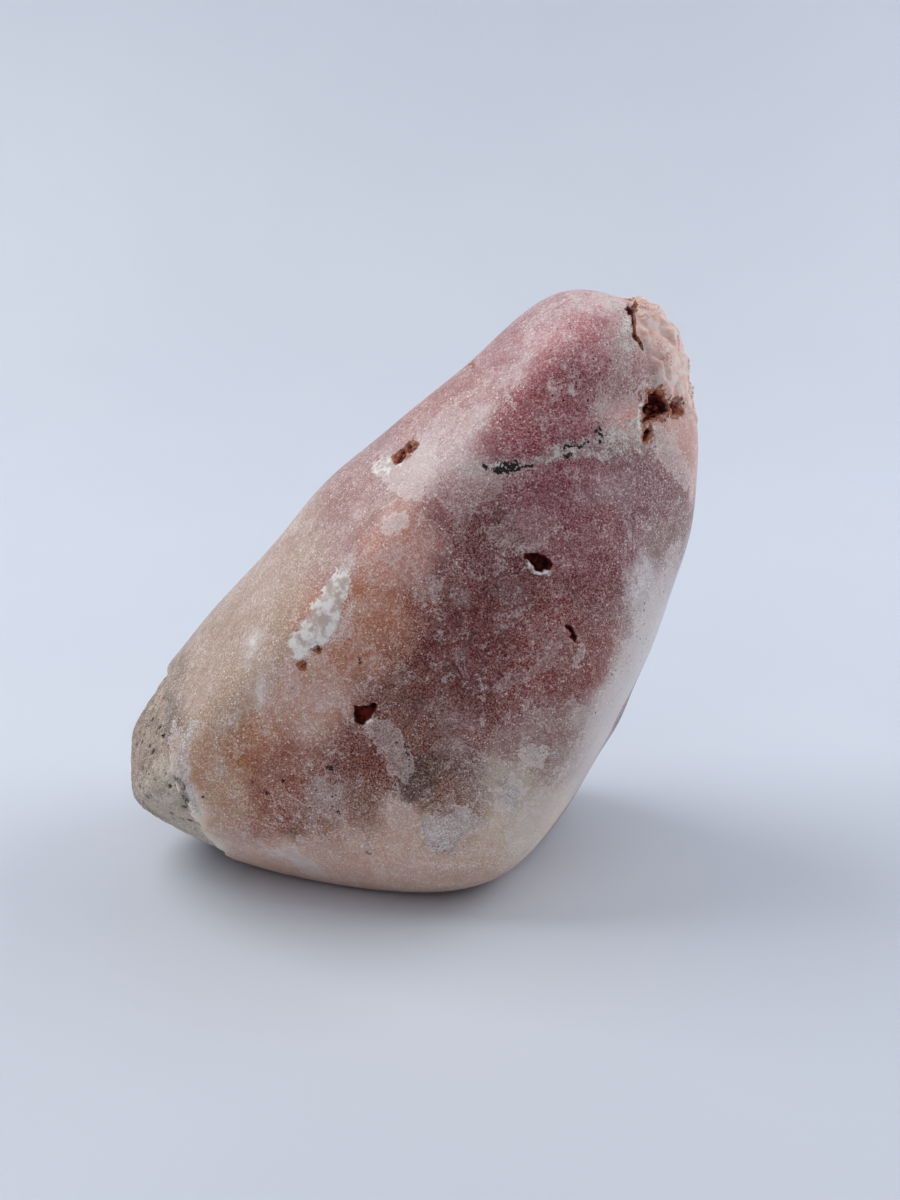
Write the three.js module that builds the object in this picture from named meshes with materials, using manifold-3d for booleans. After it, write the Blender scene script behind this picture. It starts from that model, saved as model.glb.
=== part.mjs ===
// Pink amethyst freeform: one polished stone on a sawn flat base.
// Millimetres, +Z up. The broad front looks along -Y, the stone leans towards +X.
import * as THREE from 'three';
import { ConvexGeometry } from 'three/addons/geometries/ConvexGeometry.js';
import { mergeVertices } from 'three/addons/utils/BufferGeometryUtils.js';
import Module from 'manifold-3d';

// Polished body: soft-edged facets, each square to its direction at its distance from the heart.
// Azimuth is counted from the front towards the right end, tilt upwards from level.
const HEART = new THREE.Vector3(6, 1, 65);
const EDGE_SOFTNESS = 4;
const FACETS = [
  { name: 'lower left slope', azimuth: -68, tilt: 37, distance: 42 },
  { name: 'upper left slope', azimuth: -58, tilt: 47, distance: 43 },
  { name: 'front', azimuth: -6, tilt: 4, distance: 40 },
  { name: 'upper front', azimuth: 4, tilt: 19, distance: 45 },
  { name: 'front right', azimuth: 42, tilt: 11, distance: 54 },
  { name: 'right end', azimuth: 92, tilt: 3, distance: 69.5 },
  { name: 'right flank', azimuth: 72, tilt: -24, distance: 52.5 },
  { name: 'front foot', azimuth: -18, tilt: -40, distance: 66 },
  { name: 'right foot', azimuth: 35, tilt: -50, distance: 69 },
  { name: 'left end', azimuth: -84, tilt: -2, distance: 83 },
  { name: 'left foot', azimuth: -60, tilt: -48, distance: 84.5 },
  { name: 'summit', azimuth: 35, tilt: 80, distance: 84 },
  { name: 'crusted shoulder', azimuth: 82, tilt: 40, distance: 92 },
  { name: 'back slope', azimuth: -130, tilt: 38, distance: 39 },
  { name: 'back', azimuth: 176, tilt: 8, distance: 36 },
  { name: 'upper back', azimuth: 160, tilt: 42, distance: 70 },
  { name: 'back foot', azimuth: -165, tilt: -45, distance: 66 },
  { name: 'back left end', azimuth: -122, tilt: -6, distance: 72 },
  { name: 'back right', azimuth: 125, tilt: -8, distance: 57 },
  { name: 'below the sawn base', azimuth: 0, tilt: -90, distance: 68 },
];
// Gentle swells and dips of the polish round a place, by their reach and their height.
const SWELLS = [
  { name: 'summit', place: new THREE.Vector3(41, 6, 146), reach: 10, height: 0.8 },
  { name: 'crust top', place: new THREE.Vector3(59, 4, 141), reach: 6, height: 0.8 },
  { name: 'crust hollow', place: new THREE.Vector3(68, 7, 121), reach: 8, height: -1.5 },
  { name: 'right end', place: new THREE.Vector3(70, 2, 96), reach: 13, height: -0.5 },
  { name: 'right flank', place: new THREE.Vector3(66, -2, 73), reach: 16, height: -1.9 },
  { name: 'lower right', place: new THREE.Vector3(53, 3, 34), reach: 8, height: 0.9 },
  { name: 'right foot', place: new THREE.Vector3(30, -18, 8), reach: 14, height: -1.1 },
  { name: 'end corner', place: new THREE.Vector3(-69, -16, 19), reach: 7, height: 0.7 },
  { name: 'end nub', place: new THREE.Vector3(-73, -2, 35), reach: 4.5, height: 0.9 },
  { name: 'left shoulder', place: new THREE.Vector3(-60, 8, 52), reach: 9, height: -0.5 },
  { name: 'long slope', place: new THREE.Vector3(-20, 5, 98), reach: 17, height: 1.3 },
  { name: 'upper slope', place: new THREE.Vector3(12, 6, 126), reach: 15, height: -0.9 },
];
const BODY_DETAIL = 15;
const ROUGH_END_DETAIL = 30;
const SMALLEST_STEP = 0.03;
const LONG_AXIS = new THREE.Vector3(0.66, 0, 0.75);
const LONG_AXIS_STRETCH = 1;
const WAVE_HEIGHT = 0.22;
const WAVE_LENGTH = 46;

// Rough crust on the shoulder: blocky lumps spread from its middle.
const CRUST_MIDDLE = new THREE.Vector3(64, 3, 131);
const CRUST_REACH = 21;
const CRUST_LUMPS = 40;
const LUMP_RADIUS = { least: 3.4, most: 7 };
const LUMP_RISE = { least: 0.7, most: 2.2 };
const CRUST_LEFT = 53.5;
const LUMP_RAGGEDNESS = 0.3;

// Openings on the front, by their place across (x) and up (z). Turn is counted anticlockwise.
const VUG = { x: 58, z: 120.5, width: 6.8, height: 7.6, depth: 5, turn: 12, sides: 8 };
const VUG_CHAMBER = { radius: 5.4, flattening: 0.8, depth: 5.6 };
const PITS = [
  { name: 'side hollow', x: 63.4, z: 118.8, width: 4.2, height: 4, depth: 2.2, turn: 0, sides: 7 },
  { name: 'vug tail', x: 56.3, z: 114.2, width: 2, height: 4.2, depth: 1.8, turn: 20, sides: 6 },
  { name: 'wide pit', x: 30, z: 88.9, width: 6.6, height: 4.2, depth: 3.2, turn: -20, sides: 8 },
  { name: 'square pit', x: -9.9, z: 53.8, width: 5.2, height: 5.2, depth: 3, turn: 5, sides: 5 },
  { name: 'narrow pit', x: 37.3, z: 73.1, width: 2.4, height: 5.4, depth: 2, turn: 25, sides: 6 },
  { name: 'slope slit', x: -1.3, z: 108.7, width: 8.4, height: 2.2, depth: 1.8, turn: 28, sides: 7 },
  { name: 'slope pit', x: 14.5, z: 127.7, width: 2.2, height: 1.6, depth: 1, turn: 30, sides: 5 },
  { name: 'upper scar', x: -20.7, z: 68.3, width: 3.2, height: 1.8, depth: 1, turn: 15, sides: 6 },
  { name: 'lower scar', x: -24.3, z: 64.6, width: 2.6, height: 2, depth: 0.9, turn: 0, sides: 5 },
  { name: 'upper ledge pit', x: -56.4, z: 33.6, width: 2.2, height: 3, depth: 1.9, turn: 20, sides: 6 },
  { name: 'ledge pit', x: -53.6, z: 26.8, width: 2.6, height: 4.4, depth: 2.2, turn: 12, sides: 6 },
  { name: 'lower ledge pit', x: -51.4, z: 20.4, width: 1.8, height: 3, depth: 1.6, turn: 15, sides: 5 },
];
const CRACK = [
  { x: 52.4, z: 141.4, width: 2.6 },
  { x: 52.9, z: 139.4, width: 1.1 },
  { x: 53.6, z: 136.6, width: 1.3 },
  { x: 54.9, z: 133.8, width: 0.7 },
];
const CRACK_DEPTH = 2.6;

// Unpolished left end: what lies past a ledge is lower than the polish, with pores in it. The
// ground rises back to the polish over the ledge's fall.
const LEDGE = { across: new THREE.Vector3(0.94, 0.04, 0.33), place: -42, height: 1.3, fall: 13 };
const LEDGE_NOTCHES = [
  { x: -57, z: 41, width: 7, height: 8, depth: 1.3 },
  { x: -54.8, z: 30, width: 6, height: 9, depth: 1.4 },
  { x: -51.5, z: 20, width: 6, height: 8, depth: 1.3 },
];
const END_ROUGHNESS = 0.45;
const PORES = [
  { x: -66, z: 38.6 },
  { x: -63.6, z: 31.6 },
  { x: -61.4, z: 36.4 },
  { x: -60.2, z: 27.4 },
  { x: -59.6, z: 33.4 },
  { x: -62.2, z: 22.6 },
  { x: -58.4, z: 19.6 },
  { x: -60.8, z: 42.4 },
];
const PORE_WIDTH = 1.5;
const PORE_DEPTH = 0.9;

// Crystals that line the vug's chamber.
const VUG_CRYSTALS = 16;
const CRYSTAL_WIDTH = { least: 1, most: 1.7 };
const CRYSTAL_LENGTH = { least: 1.3, most: 2.3 };
const LINING_SCALE = 0.9;
const LINING_INNER_SCALE = 0.66;

const wasm = await Module();
wasm.setup();
const { Manifold, Mesh: SolidMesh } = wasm;

function seededRandom(seed) {
  let state = seed;
  return () => {
    state = (state * 1664525 + 1013904223) % 4294967296;
    return state / 4294967296;
  };
}

function between(range, share) {
  return range.least + (range.most - range.least) * share;
}

function directionOf(azimuth, tilt) {
  const turn = THREE.MathUtils.degToRad(azimuth);
  const rise = THREE.MathUtils.degToRad(tilt);
  return new THREE.Vector3(
    Math.sin(turn) * Math.cos(rise),
    -Math.cos(turn) * Math.cos(rise),
    Math.sin(rise),
  );
}

const facetPlanes = FACETS.map(({ azimuth, tilt, distance }) => ({
  normal: directionOf(azimuth, tilt),
  distance,
}));

// How far a point lies outside the polished body, negative inside.
function outside(point) {
  const fromHeart = point.clone().sub(HEART);
  const sum = facetPlanes.reduce(
    (total, { normal, distance }) =>
      total + Math.exp((normal.dot(fromHeart) - distance) / EDGE_SOFTNESS),
    0,
  );
  const phase = (2 * Math.PI) / WAVE_LENGTH;
  const wave =
    Math.sin(point.x * phase + point.y * phase * 0.6) * Math.cos(point.z * phase * 0.8) +
    0.6 * Math.sin(point.z * phase * 1.3 - point.x * phase * 0.7 + 1);
  const swell = SWELLS.reduce(
    (total, { place, reach, height }) =>
      total + height * Math.exp(-place.distanceToSquared(point) / reach ** 2),
    0,
  );
  return EDGE_SOFTNESS * Math.log(sum) - WAVE_HEIGHT * wave - swell;
}

// The point of the surface between a point inside and a point outside.
function surfaceBetween(inner, outer) {
  let low = 0;
  let high = 1;
  for (let step = 0; step < 32; step += 1) {
    const middle = (low + high) / 2;
    if (outside(inner.clone().lerp(outer, middle)) > 0) {
      high = middle;
    } else {
      low = middle;
    }
  }
  return inner.clone().lerp(outer, low);
}

function pointAlong(direction) {
  return surfaceBetween(HEART, HEART.clone().addScaledVector(direction, 150));
}

function frontPoint(x, z) {
  return surfaceBetween(new THREE.Vector3(x, 2, z), new THREE.Vector3(x, -80, z));
}

// Matrix whose Z axis leaves the surface at a point, with X across and Y up the face.
function surfaceFrame(point, turn = 0) {
  const probe = 0.2;
  const slope = (axis) =>
    outside(point.clone().addScaledVector(axis, probe)) -
    outside(point.clone().addScaledVector(axis, -probe));
  const normal = new THREE.Vector3(
    slope(new THREE.Vector3(1, 0, 0)),
    slope(new THREE.Vector3(0, 1, 0)),
    slope(new THREE.Vector3(0, 0, 1)),
  ).normalize();
  const across = new THREE.Vector3(0, 0, 1).cross(normal).normalize();
  const up = normal.clone().cross(across);
  return new THREE.Matrix4()
    .makeBasis(across, up, normal)
    .setPosition(point)
    .multiply(new THREE.Matrix4().makeRotationZ(THREE.MathUtils.degToRad(turn)));
}

function toSolid(geometry) {
  const bare = geometry.clone();
  bare.deleteAttribute('normal');
  bare.deleteAttribute('uv');
  const merged = mergeVertices(bare, 1e-4);
  return new Manifold(
    new SolidMesh({
      numProp: 3,
      vertProperties: new Float32Array(merged.attributes.position.array),
      triVerts: new Uint32Array(merged.index.array),
    }),
  );
}

function toGeometry(solid) {
  const { vertProperties, triVerts } = solid.getMesh();
  const geometry = new THREE.BufferGeometry();
  geometry.setAttribute('position', new THREE.BufferAttribute(vertProperties, 3));
  geometry.setIndex(new THREE.BufferAttribute(triVerts, 1));
  const faceted = geometry.toNonIndexed();
  faceted.computeVertexNormals();
  return faceted;
}

// Body sunk by an amount that may change from place to place, sawn flat at z = 0.
// Its vertices are crowded towards the two far ends.
function bodySolid(detail, sinkAt) {
  const geometry = new THREE.IcosahedronGeometry(1, detail);
  const position = geometry.attributes.position;
  const direction = new THREE.Vector3();
  for (let i = 0; i < position.count; i += 1) {
    direction.fromBufferAttribute(position, i);
    const along = direction.dot(LONG_AXIS) * LONG_AXIS_STRETCH;
    direction.addScaledVector(LONG_AXIS, along).normalize();
    const point = pointAlong(direction);
    point.addScaledVector(direction, -sinkAt(point));
    position.setXYZ(i, point.x, point.y, point.z);
  }
  return toSolid(geometry).trimByPlane([0, 0, 1], 0);
}

// Uneven ground of the unpolished end, between none and twice the roughness.
function unevenness(point) {
  const coarse = Math.sin(point.x * 1.3 + point.z * 0.8) * Math.sin(point.y * 0.9 - point.z * 0.7);
  const fine = Math.sin(point.x * 3.1 - point.y * 2.3) * Math.cos(point.z * 2.9 + point.y * 1.4);
  return END_ROUGHNESS * (1 + 0.6 * coarse + 0.4 * fine);
}

// What is broken away from the polished body past the ledge.
function ledgeWaste() {
  const size = 120;
  const facing = new THREE.Quaternion().setFromUnitVectors(
    new THREE.Vector3(1, 0, 0),
    LEDGE.across.clone().normalize(),
  );
  const past = new THREE.BoxGeometry(size, size, size)
    .translate(LEDGE.place - size / 2, 0, 0)
    .applyQuaternion(facing);
  const across = LEDGE.across.clone().normalize();
  const sunkBy = (point) => {
    const pastIt = LEDGE.place - point.dot(across);
    return LEDGE.height * Math.exp(-((pastIt / LEDGE.fall) ** 2)) + unevenness(point);
  };
  const rough = bodySolid(ROUGH_END_DETAIL, sunkBy);
  return toSolid(past).subtract(rough);
}

// Low block with flat faces, sunk in the surface so that only its top stands out.
function lump(point, radius, rise, random) {
  const corners = mergeVertices(new THREE.IcosahedronGeometry(1, 0).deleteAttribute('normal'));
  const position = corners.deleteAttribute('uv').attributes.position;
  const points = [];
  for (let i = 0; i < position.count; i += 1) {
    const ragged = 1 - LUMP_RAGGEDNESS * random();
    points.push(new THREE.Vector3().fromBufferAttribute(position, i).multiplyScalar(ragged));
  }
  const stretch = 0.75 + 0.5 * random();
  const shape = new ConvexGeometry(points).scale(radius * stretch, radius / stretch, radius * 0.8);
  shape.rotateX((random() - 0.5) * 0.7);
  shape.computeBoundingBox();
  shape.translate(0, 0, rise - shape.boundingBox.max.z);
  return toSolid(shape.applyMatrix4(surfaceFrame(point, random() * 180)));
}

function crustLumps() {
  const random = seededRandom(41);
  const patch = surfaceFrame(pointAlong(CRUST_MIDDLE.clone().sub(HEART).normalize()));
  const mouth = frontPoint(VUG.x, VUG.z);
  const cracked = CRACK.map(({ x, z }) => frontPoint(x, z));
  const lumps = [];
  for (let i = 0; i < CRUST_LUMPS; i += 1) {
    const reach = CRUST_REACH * Math.sqrt((i + 0.5) / CRUST_LUMPS);
    const turn = i * 2.4;
    const spread = new THREE.Vector3(reach * Math.cos(turn), reach * Math.sin(turn), 0);
    const toward = spread.applyMatrix4(patch).sub(HEART).normalize();
    const point = pointAlong(toward);
    const fade = 1 - 0.6 * (reach / CRUST_REACH);
    const radius = between(LUMP_RADIUS, random());
    const rise = between(LUMP_RISE, random()) * fade;
    const clear = point.distanceTo(mouth) > VUG.height / 2 + radius * 0.8;
    const offCrack = cracked.every((place) => point.distanceTo(place) > radius * 0.9);
    if (clear && offCrack && point.x > CRUST_LEFT) {
      lumps.push(lump(point, radius, rise, random));
    }
  }
  return lumps;
}

// Ragged plug that narrows from its mouth to its floor.
function plug({ x, z, width, height, depth, turn, sides }, random) {
  const points = [];
  for (let i = 0; i < sides; i += 1) {
    const angle = ((i + 0.6 * random()) / sides) * 2 * Math.PI;
    const ragged = 0.85 + 0.3 * random();
    const across = (Math.cos(angle) * width * ragged) / 2;
    const up = (Math.sin(angle) * height * ragged) / 2;
    const narrowing = 0.55 + 0.2 * random();
    points.push(new THREE.Vector3(across * 1.1, up * 1.1, 2));
    points.push(new THREE.Vector3(across * 1.02, up * 1.02, 0));
    points.push(new THREE.Vector3(across * narrowing, up * narrowing, -depth));
  }
  points.push(new THREE.Vector3(0, 0, -depth * 1.15));
  return toSolid(new ConvexGeometry(points).applyMatrix4(surfaceFrame(frontPoint(x, z), turn)));
}

function crackWedges() {
  const wedges = [];
  for (let i = 1; i < CRACK.length; i += 1) {
    const points = [];
    [CRACK[i - 1], CRACK[i]].forEach(({ x, z, width }) => {
      const frame = surfaceFrame(frontPoint(x, z));
      [-0.5, 0.5].forEach((side) => {
        points.push(new THREE.Vector3(side * width, 0, 2).applyMatrix4(frame));
        points.push(new THREE.Vector3(side * width * 0.3, 0, -CRACK_DEPTH).applyMatrix4(frame));
      });
    });
    wedges.push(toSolid(new ConvexGeometry(points)));
  }
  return wedges;
}

function pore({ x, z }, random) {
  const size = PORE_WIDTH * (0.7 + 0.6 * random());
  const opening = { x, z, width: size, height: size * 1.4, depth: PORE_DEPTH };
  return plug({ ...opening, turn: random() * 90, sides: 5 }, random);
}

// Round room under the vug's mouth, at a share of its full size.
function chamber(share, lift = 0) {
  const { radius, flattening, depth } = VUG_CHAMBER;
  const size = radius * share;
  const shape = new THREE.IcosahedronGeometry(1, 1)
    .scale(size, size, size * flattening)
    .translate(0, 0, lift - depth);
  return toSolid(shape.applyMatrix4(surfaceFrame(frontPoint(VUG.x, VUG.z), VUG.turn)));
}

function stoneSolid() {
  const random = seededRandom(7);
  const cuts = [
    plug(VUG, random),
    chamber(1),
    ...PITS.map((pit) => plug(pit, random)),
    ...crackWedges(),
    ledgeWaste(),
    ...LEDGE_NOTCHES.map((notch) => plug({ ...notch, turn: 0, sides: 7 }, random)),
    ...PORES.map((place) => pore(place, random)),
  ];
  const grown = Manifold.union([bodySolid(BODY_DETAIL, () => 0), ...crustLumps()]);
  return grown.subtract(Manifold.union(cuts)).simplify(SMALLEST_STEP);
}

// Six-sided crystal with a pointed end, its foot at the origin, along +Z.
function crystal(width, length) {
  const shaft = new THREE.CylinderGeometry(width / 2, width / 2, length * 0.6, 6)
    .rotateX(Math.PI / 2)
    .translate(0, 0, length * 0.3);
  const corners = shaft.attributes.position;
  const points = [new THREE.Vector3(0, 0, length)];
  for (let i = 0; i < corners.count; i += 1) {
    points.push(new THREE.Vector3().fromBufferAttribute(corners, i));
  }
  return new ConvexGeometry(points);
}

function vugLining() {
  const random = seededRandom(19);
  const { radius, flattening, depth } = VUG_CHAMBER;
  const frame = surfaceFrame(frontPoint(VUG.x, VUG.z), VUG.turn);
  const crystals = [];
  for (let i = 0; i < VUG_CRYSTALS; i += 1) {
    const drop = 1 - (0.85 * (i + 0.5)) / VUG_CRYSTALS;
    const ring = Math.sqrt(1 - drop * drop);
    const turn = i * 2.4;
    const outward = new THREE.Vector3(ring * Math.cos(turn), ring * Math.sin(turn), -drop);
    const foot = outward.clone().multiplyScalar(radius * 0.8);
    foot.z *= flattening;
    const shape = crystal(between(CRYSTAL_WIDTH, random()), between(CRYSTAL_LENGTH, random()));
    const lean = new THREE.Vector3(random() - 0.5, random() - 0.5, 0.4);
    const aim = outward.clone().negate().addScaledVector(lean, 0.5).normalize();
    const standing = new THREE.Matrix4().makeRotationFromQuaternion(
      new THREE.Quaternion().setFromUnitVectors(new THREE.Vector3(0, 0, 1), aim),
    );
    standing.setPosition(foot.x, foot.y, foot.z - depth);
    crystals.push(toSolid(shape.applyMatrix4(standing).applyMatrix4(frame)));
  }
  const bowl = chamber(LINING_SCALE).subtract(chamber(LINING_INNER_SCALE, 1.6));
  const lining = Manifold.union([bowl, ...crystals]).intersect(chamber(LINING_SCALE));
  return lining.simplify(SMALLEST_STEP);
}

const stoneMaterial = new THREE.MeshStandardMaterial({
  color: '#a97f7c',
  roughness: 0.34,
  metalness: 0,
});
const crystalMaterial = new THREE.MeshStandardMaterial({
  color: '#5a1f20',
  roughness: 0.2,
  metalness: 0,
});

const stone = new THREE.Mesh(toGeometry(stoneSolid()), stoneMaterial);
stone.name = 'stone';
const vugCrystals = new THREE.Mesh(toGeometry(vugLining()), crystalMaterial);
vugCrystals.name = 'vug_crystals';

const freeform = new THREE.Group();
freeform.name = 'pink_amethyst_freeform';
freeform.add(stone, vugCrystals);

export default freeform;
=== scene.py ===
import math

import bmesh
import bpy
import numpy as np
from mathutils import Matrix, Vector


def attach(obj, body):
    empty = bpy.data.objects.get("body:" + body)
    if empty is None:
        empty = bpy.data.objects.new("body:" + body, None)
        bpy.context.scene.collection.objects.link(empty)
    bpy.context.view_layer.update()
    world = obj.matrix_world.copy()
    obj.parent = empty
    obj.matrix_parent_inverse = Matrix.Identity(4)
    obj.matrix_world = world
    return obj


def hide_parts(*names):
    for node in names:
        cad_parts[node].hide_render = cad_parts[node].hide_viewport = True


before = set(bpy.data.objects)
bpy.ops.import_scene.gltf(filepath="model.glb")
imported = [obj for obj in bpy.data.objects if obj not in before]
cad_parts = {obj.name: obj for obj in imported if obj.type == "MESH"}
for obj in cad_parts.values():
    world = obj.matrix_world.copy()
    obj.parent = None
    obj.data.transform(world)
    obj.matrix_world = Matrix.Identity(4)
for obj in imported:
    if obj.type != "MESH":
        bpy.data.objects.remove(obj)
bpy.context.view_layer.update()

millimetre = 0.001
farOutside = -99.0    # a field's value a long way outside every outline


def report(stage):
    print("stone:", stage)


def smoothBetween(low, high, values):
    part = np.clip((values - low) / (high - low), 0, 1)
    return part * part * (3 - 2 * part)


def cellHash(corners, seed):    # a steady random number, -1 to 1, for each whole-number corner
    mixed = corners[:, 0] * 374761393 + corners[:, 1] * 668265263 + corners[:, 2] * 1440662683
    mixed = (mixed + seed * 974634777) & 0xFFFFFFFF
    mixed = ((mixed ^ (mixed >> 13)) * 1274126177) & 0xFFFFFFFF
    mixed = mixed ^ (mixed >> 16)
    return (mixed & 0xFFFFFF) / 0x7FFFFF - 1


def softNoise(points, size, seed):    # smooth noise, -1 to 1, with features of about that size
    cell = points / size
    base = np.floor(cell).astype(np.int64)
    ease = cell - base
    ease = ease * ease * (3 - 2 * ease)
    total = np.zeros(len(points))
    for corner in np.ndindex(2, 2, 2):
        share = np.where(corner, ease, 1 - ease).prod(axis=1)
        total += share * cellHash(base + corner, seed)
    return total


def layeredNoise(points, size, seed, layers=3):
    total = np.zeros(len(points))
    for layer in range(layers):
        total += softNoise(points, size / 2 ** layer, seed + layer) / 2 ** layer
    return total


def waver(points, size, height, seeds, layers=1):    # one noise for each seed, side by side
    return np.column_stack([layeredNoise(points, size, seed, layers) for seed in seeds]) * height


stoneForm = {    # millimetres and degrees
    "heart": (6, 1, 65),
    "edgeSoftness": 4.0,
    "facets": {    # azimuth from the front towards the right end, tilt up, distance from the heart
        "lower left slope": (-68, 37, 42),
        "upper left slope": (-58, 47, 43),
        "front": (-6, 4, 40),
        "upper front": (4, 19, 45),
        "front right": (42, 11, 54),
        "right end": (92, 3, 69.5),
        "right flank": (72, -24, 52.5),
        "front foot": (-18, -40, 66),
        "right foot": (35, -50, 69),
        "left end": (-84, -2, 83),
        "left foot": (-60, -48, 84.5),
        "summit": (35, 80, 84),
        "crusted shoulder": (82, 40, 92),
        "back slope": (-130, 38, 39),
        "back": (176, 8, 36),
        "upper back": (160, 42, 70),
        "back foot": (-165, -45, 66),
        "back left end": (-122, -6, 72),
        "back right": (125, -8, 57),
        "below the sawn base": (0, -90, 68),
    },
    "swells": {    # place, reach, height
        "summit": ((41, 6, 146), 10, 0.8),
        "crust top": ((59, 4, 141), 6, 0.8),
        "crust hollow": ((68, 7, 121), 8, -1.5),
        "right end": ((70, 2, 96), 13, -0.5),
        "right flank": ((66, -2, 73), 16, -1.9),
        "lower right": ((53, 3, 34), 8, 0.9),
        "right foot": ((30, -18, 8), 14, -1.1),
        "end corner": ((-69, -16, 19), 7, 0.7),
        "end nub": ((-73, -2, 35), 4.5, 0.9),
        "left shoulder": ((-60, 8, 52), 9, -0.5),
        "long slope": ((-20, 5, 98), 17, 1.3),
        "upper slope": ((12, 6, 126), 15, -0.9),
    },
    "waveHeight": 0.22,
    "waveLength": 46,
    "longAxis": (0.66, 0, 0.75),
    "sawnEdge": 0.5,
    "divisions": 6,
    "rounds": 5,
    "splitOver": 1.35,    # an edge this many times the wanted length is split
    "frontEdge": 0.8,
    "backEdge": 1.7,
}
search = {"halvings": 24, "reach": 150, "inside": 2.0, "across": 80, "probe": 0.15}

heart = np.array(stoneForm["heart"], dtype=float)


def facetDirection(azimuth, tilt):
    turn, rise = math.radians(azimuth), math.radians(tilt)
    return (math.sin(turn) * math.cos(rise), -math.cos(turn) * math.cos(rise), math.sin(rise))


facetNormals = np.array([facetDirection(a, t) for a, t, d in stoneForm["facets"].values()])
facetDistances = np.array([d for a, t, d in stoneForm["facets"].values()], dtype=float)


def unitRows(rows):
    rows = np.asarray(rows, dtype=float)
    return rows / np.linalg.norm(rows, axis=1)[:, None]


def outsideBody(points):    # millimetres outside the polished body, negative inside
    soft = stoneForm["edgeSoftness"]
    levels = ((points - heart) @ facetNormals.T - facetDistances) / soft
    peak = levels.max(axis=1)
    polished = soft * (peak + np.log(np.exp(levels - peak[:, None]).sum(axis=1)))
    phase = 2 * math.pi / stoneForm["waveLength"]
    x, y, z = points.T
    wave = np.sin(x * phase + y * phase * 0.6) * np.cos(z * phase * 0.8)
    wave += 0.6 * np.sin(z * phase * 1.3 - x * phase * 0.7 + 1)
    polished -= stoneForm["waveHeight"] * wave
    for middle, reach, height in stoneForm["swells"].values():
        away = points - np.array(middle, dtype=float)
        polished -= height * np.exp(-(away * away).sum(axis=1) / reach ** 2)
    crisp = stoneForm["sawnEdge"]
    return crisp * np.logaddexp(polished / crisp, -z / crisp)


def surfaceBetween(inner, outer):
    low, high = np.zeros(len(inner)), np.ones(len(inner))
    for step in range(search["halvings"]):
        middle = (low + high) / 2
        beyond = outsideBody(inner + (outer - inner) * middle[:, None]) > 0
        high = np.where(beyond, middle, high)
        low = np.where(beyond, low, middle)
    return inner + (outer - inner) * low[:, None]


def surfaceAlong(directions):
    start = np.tile(heart, (len(directions), 1))
    return surfaceBetween(start, start + directions * search["reach"])


def frontPoints(places):    # the front surface at places across (x) and up (z)
    places = np.asarray(places, dtype=float)
    inner = np.insert(places, 1, search["inside"], axis=1)
    outer = np.insert(places, 1, -search["across"], axis=1)
    return surfaceBetween(inner, outer)


def surfaceNormals(points):
    slope = np.column_stack([
        outsideBody(points + probe) - outsideBody(points - probe)
        for probe in np.eye(3) * search["probe"]
    ])
    return unitRows(slope)


def surfaceFrames(points):    # across, up and outward directions of the surface at each point
    outward = surfaceNormals(points)
    across = unitRows(np.cross((0, 0, 1), outward))
    return across, np.cross(outward, across), outward


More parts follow.
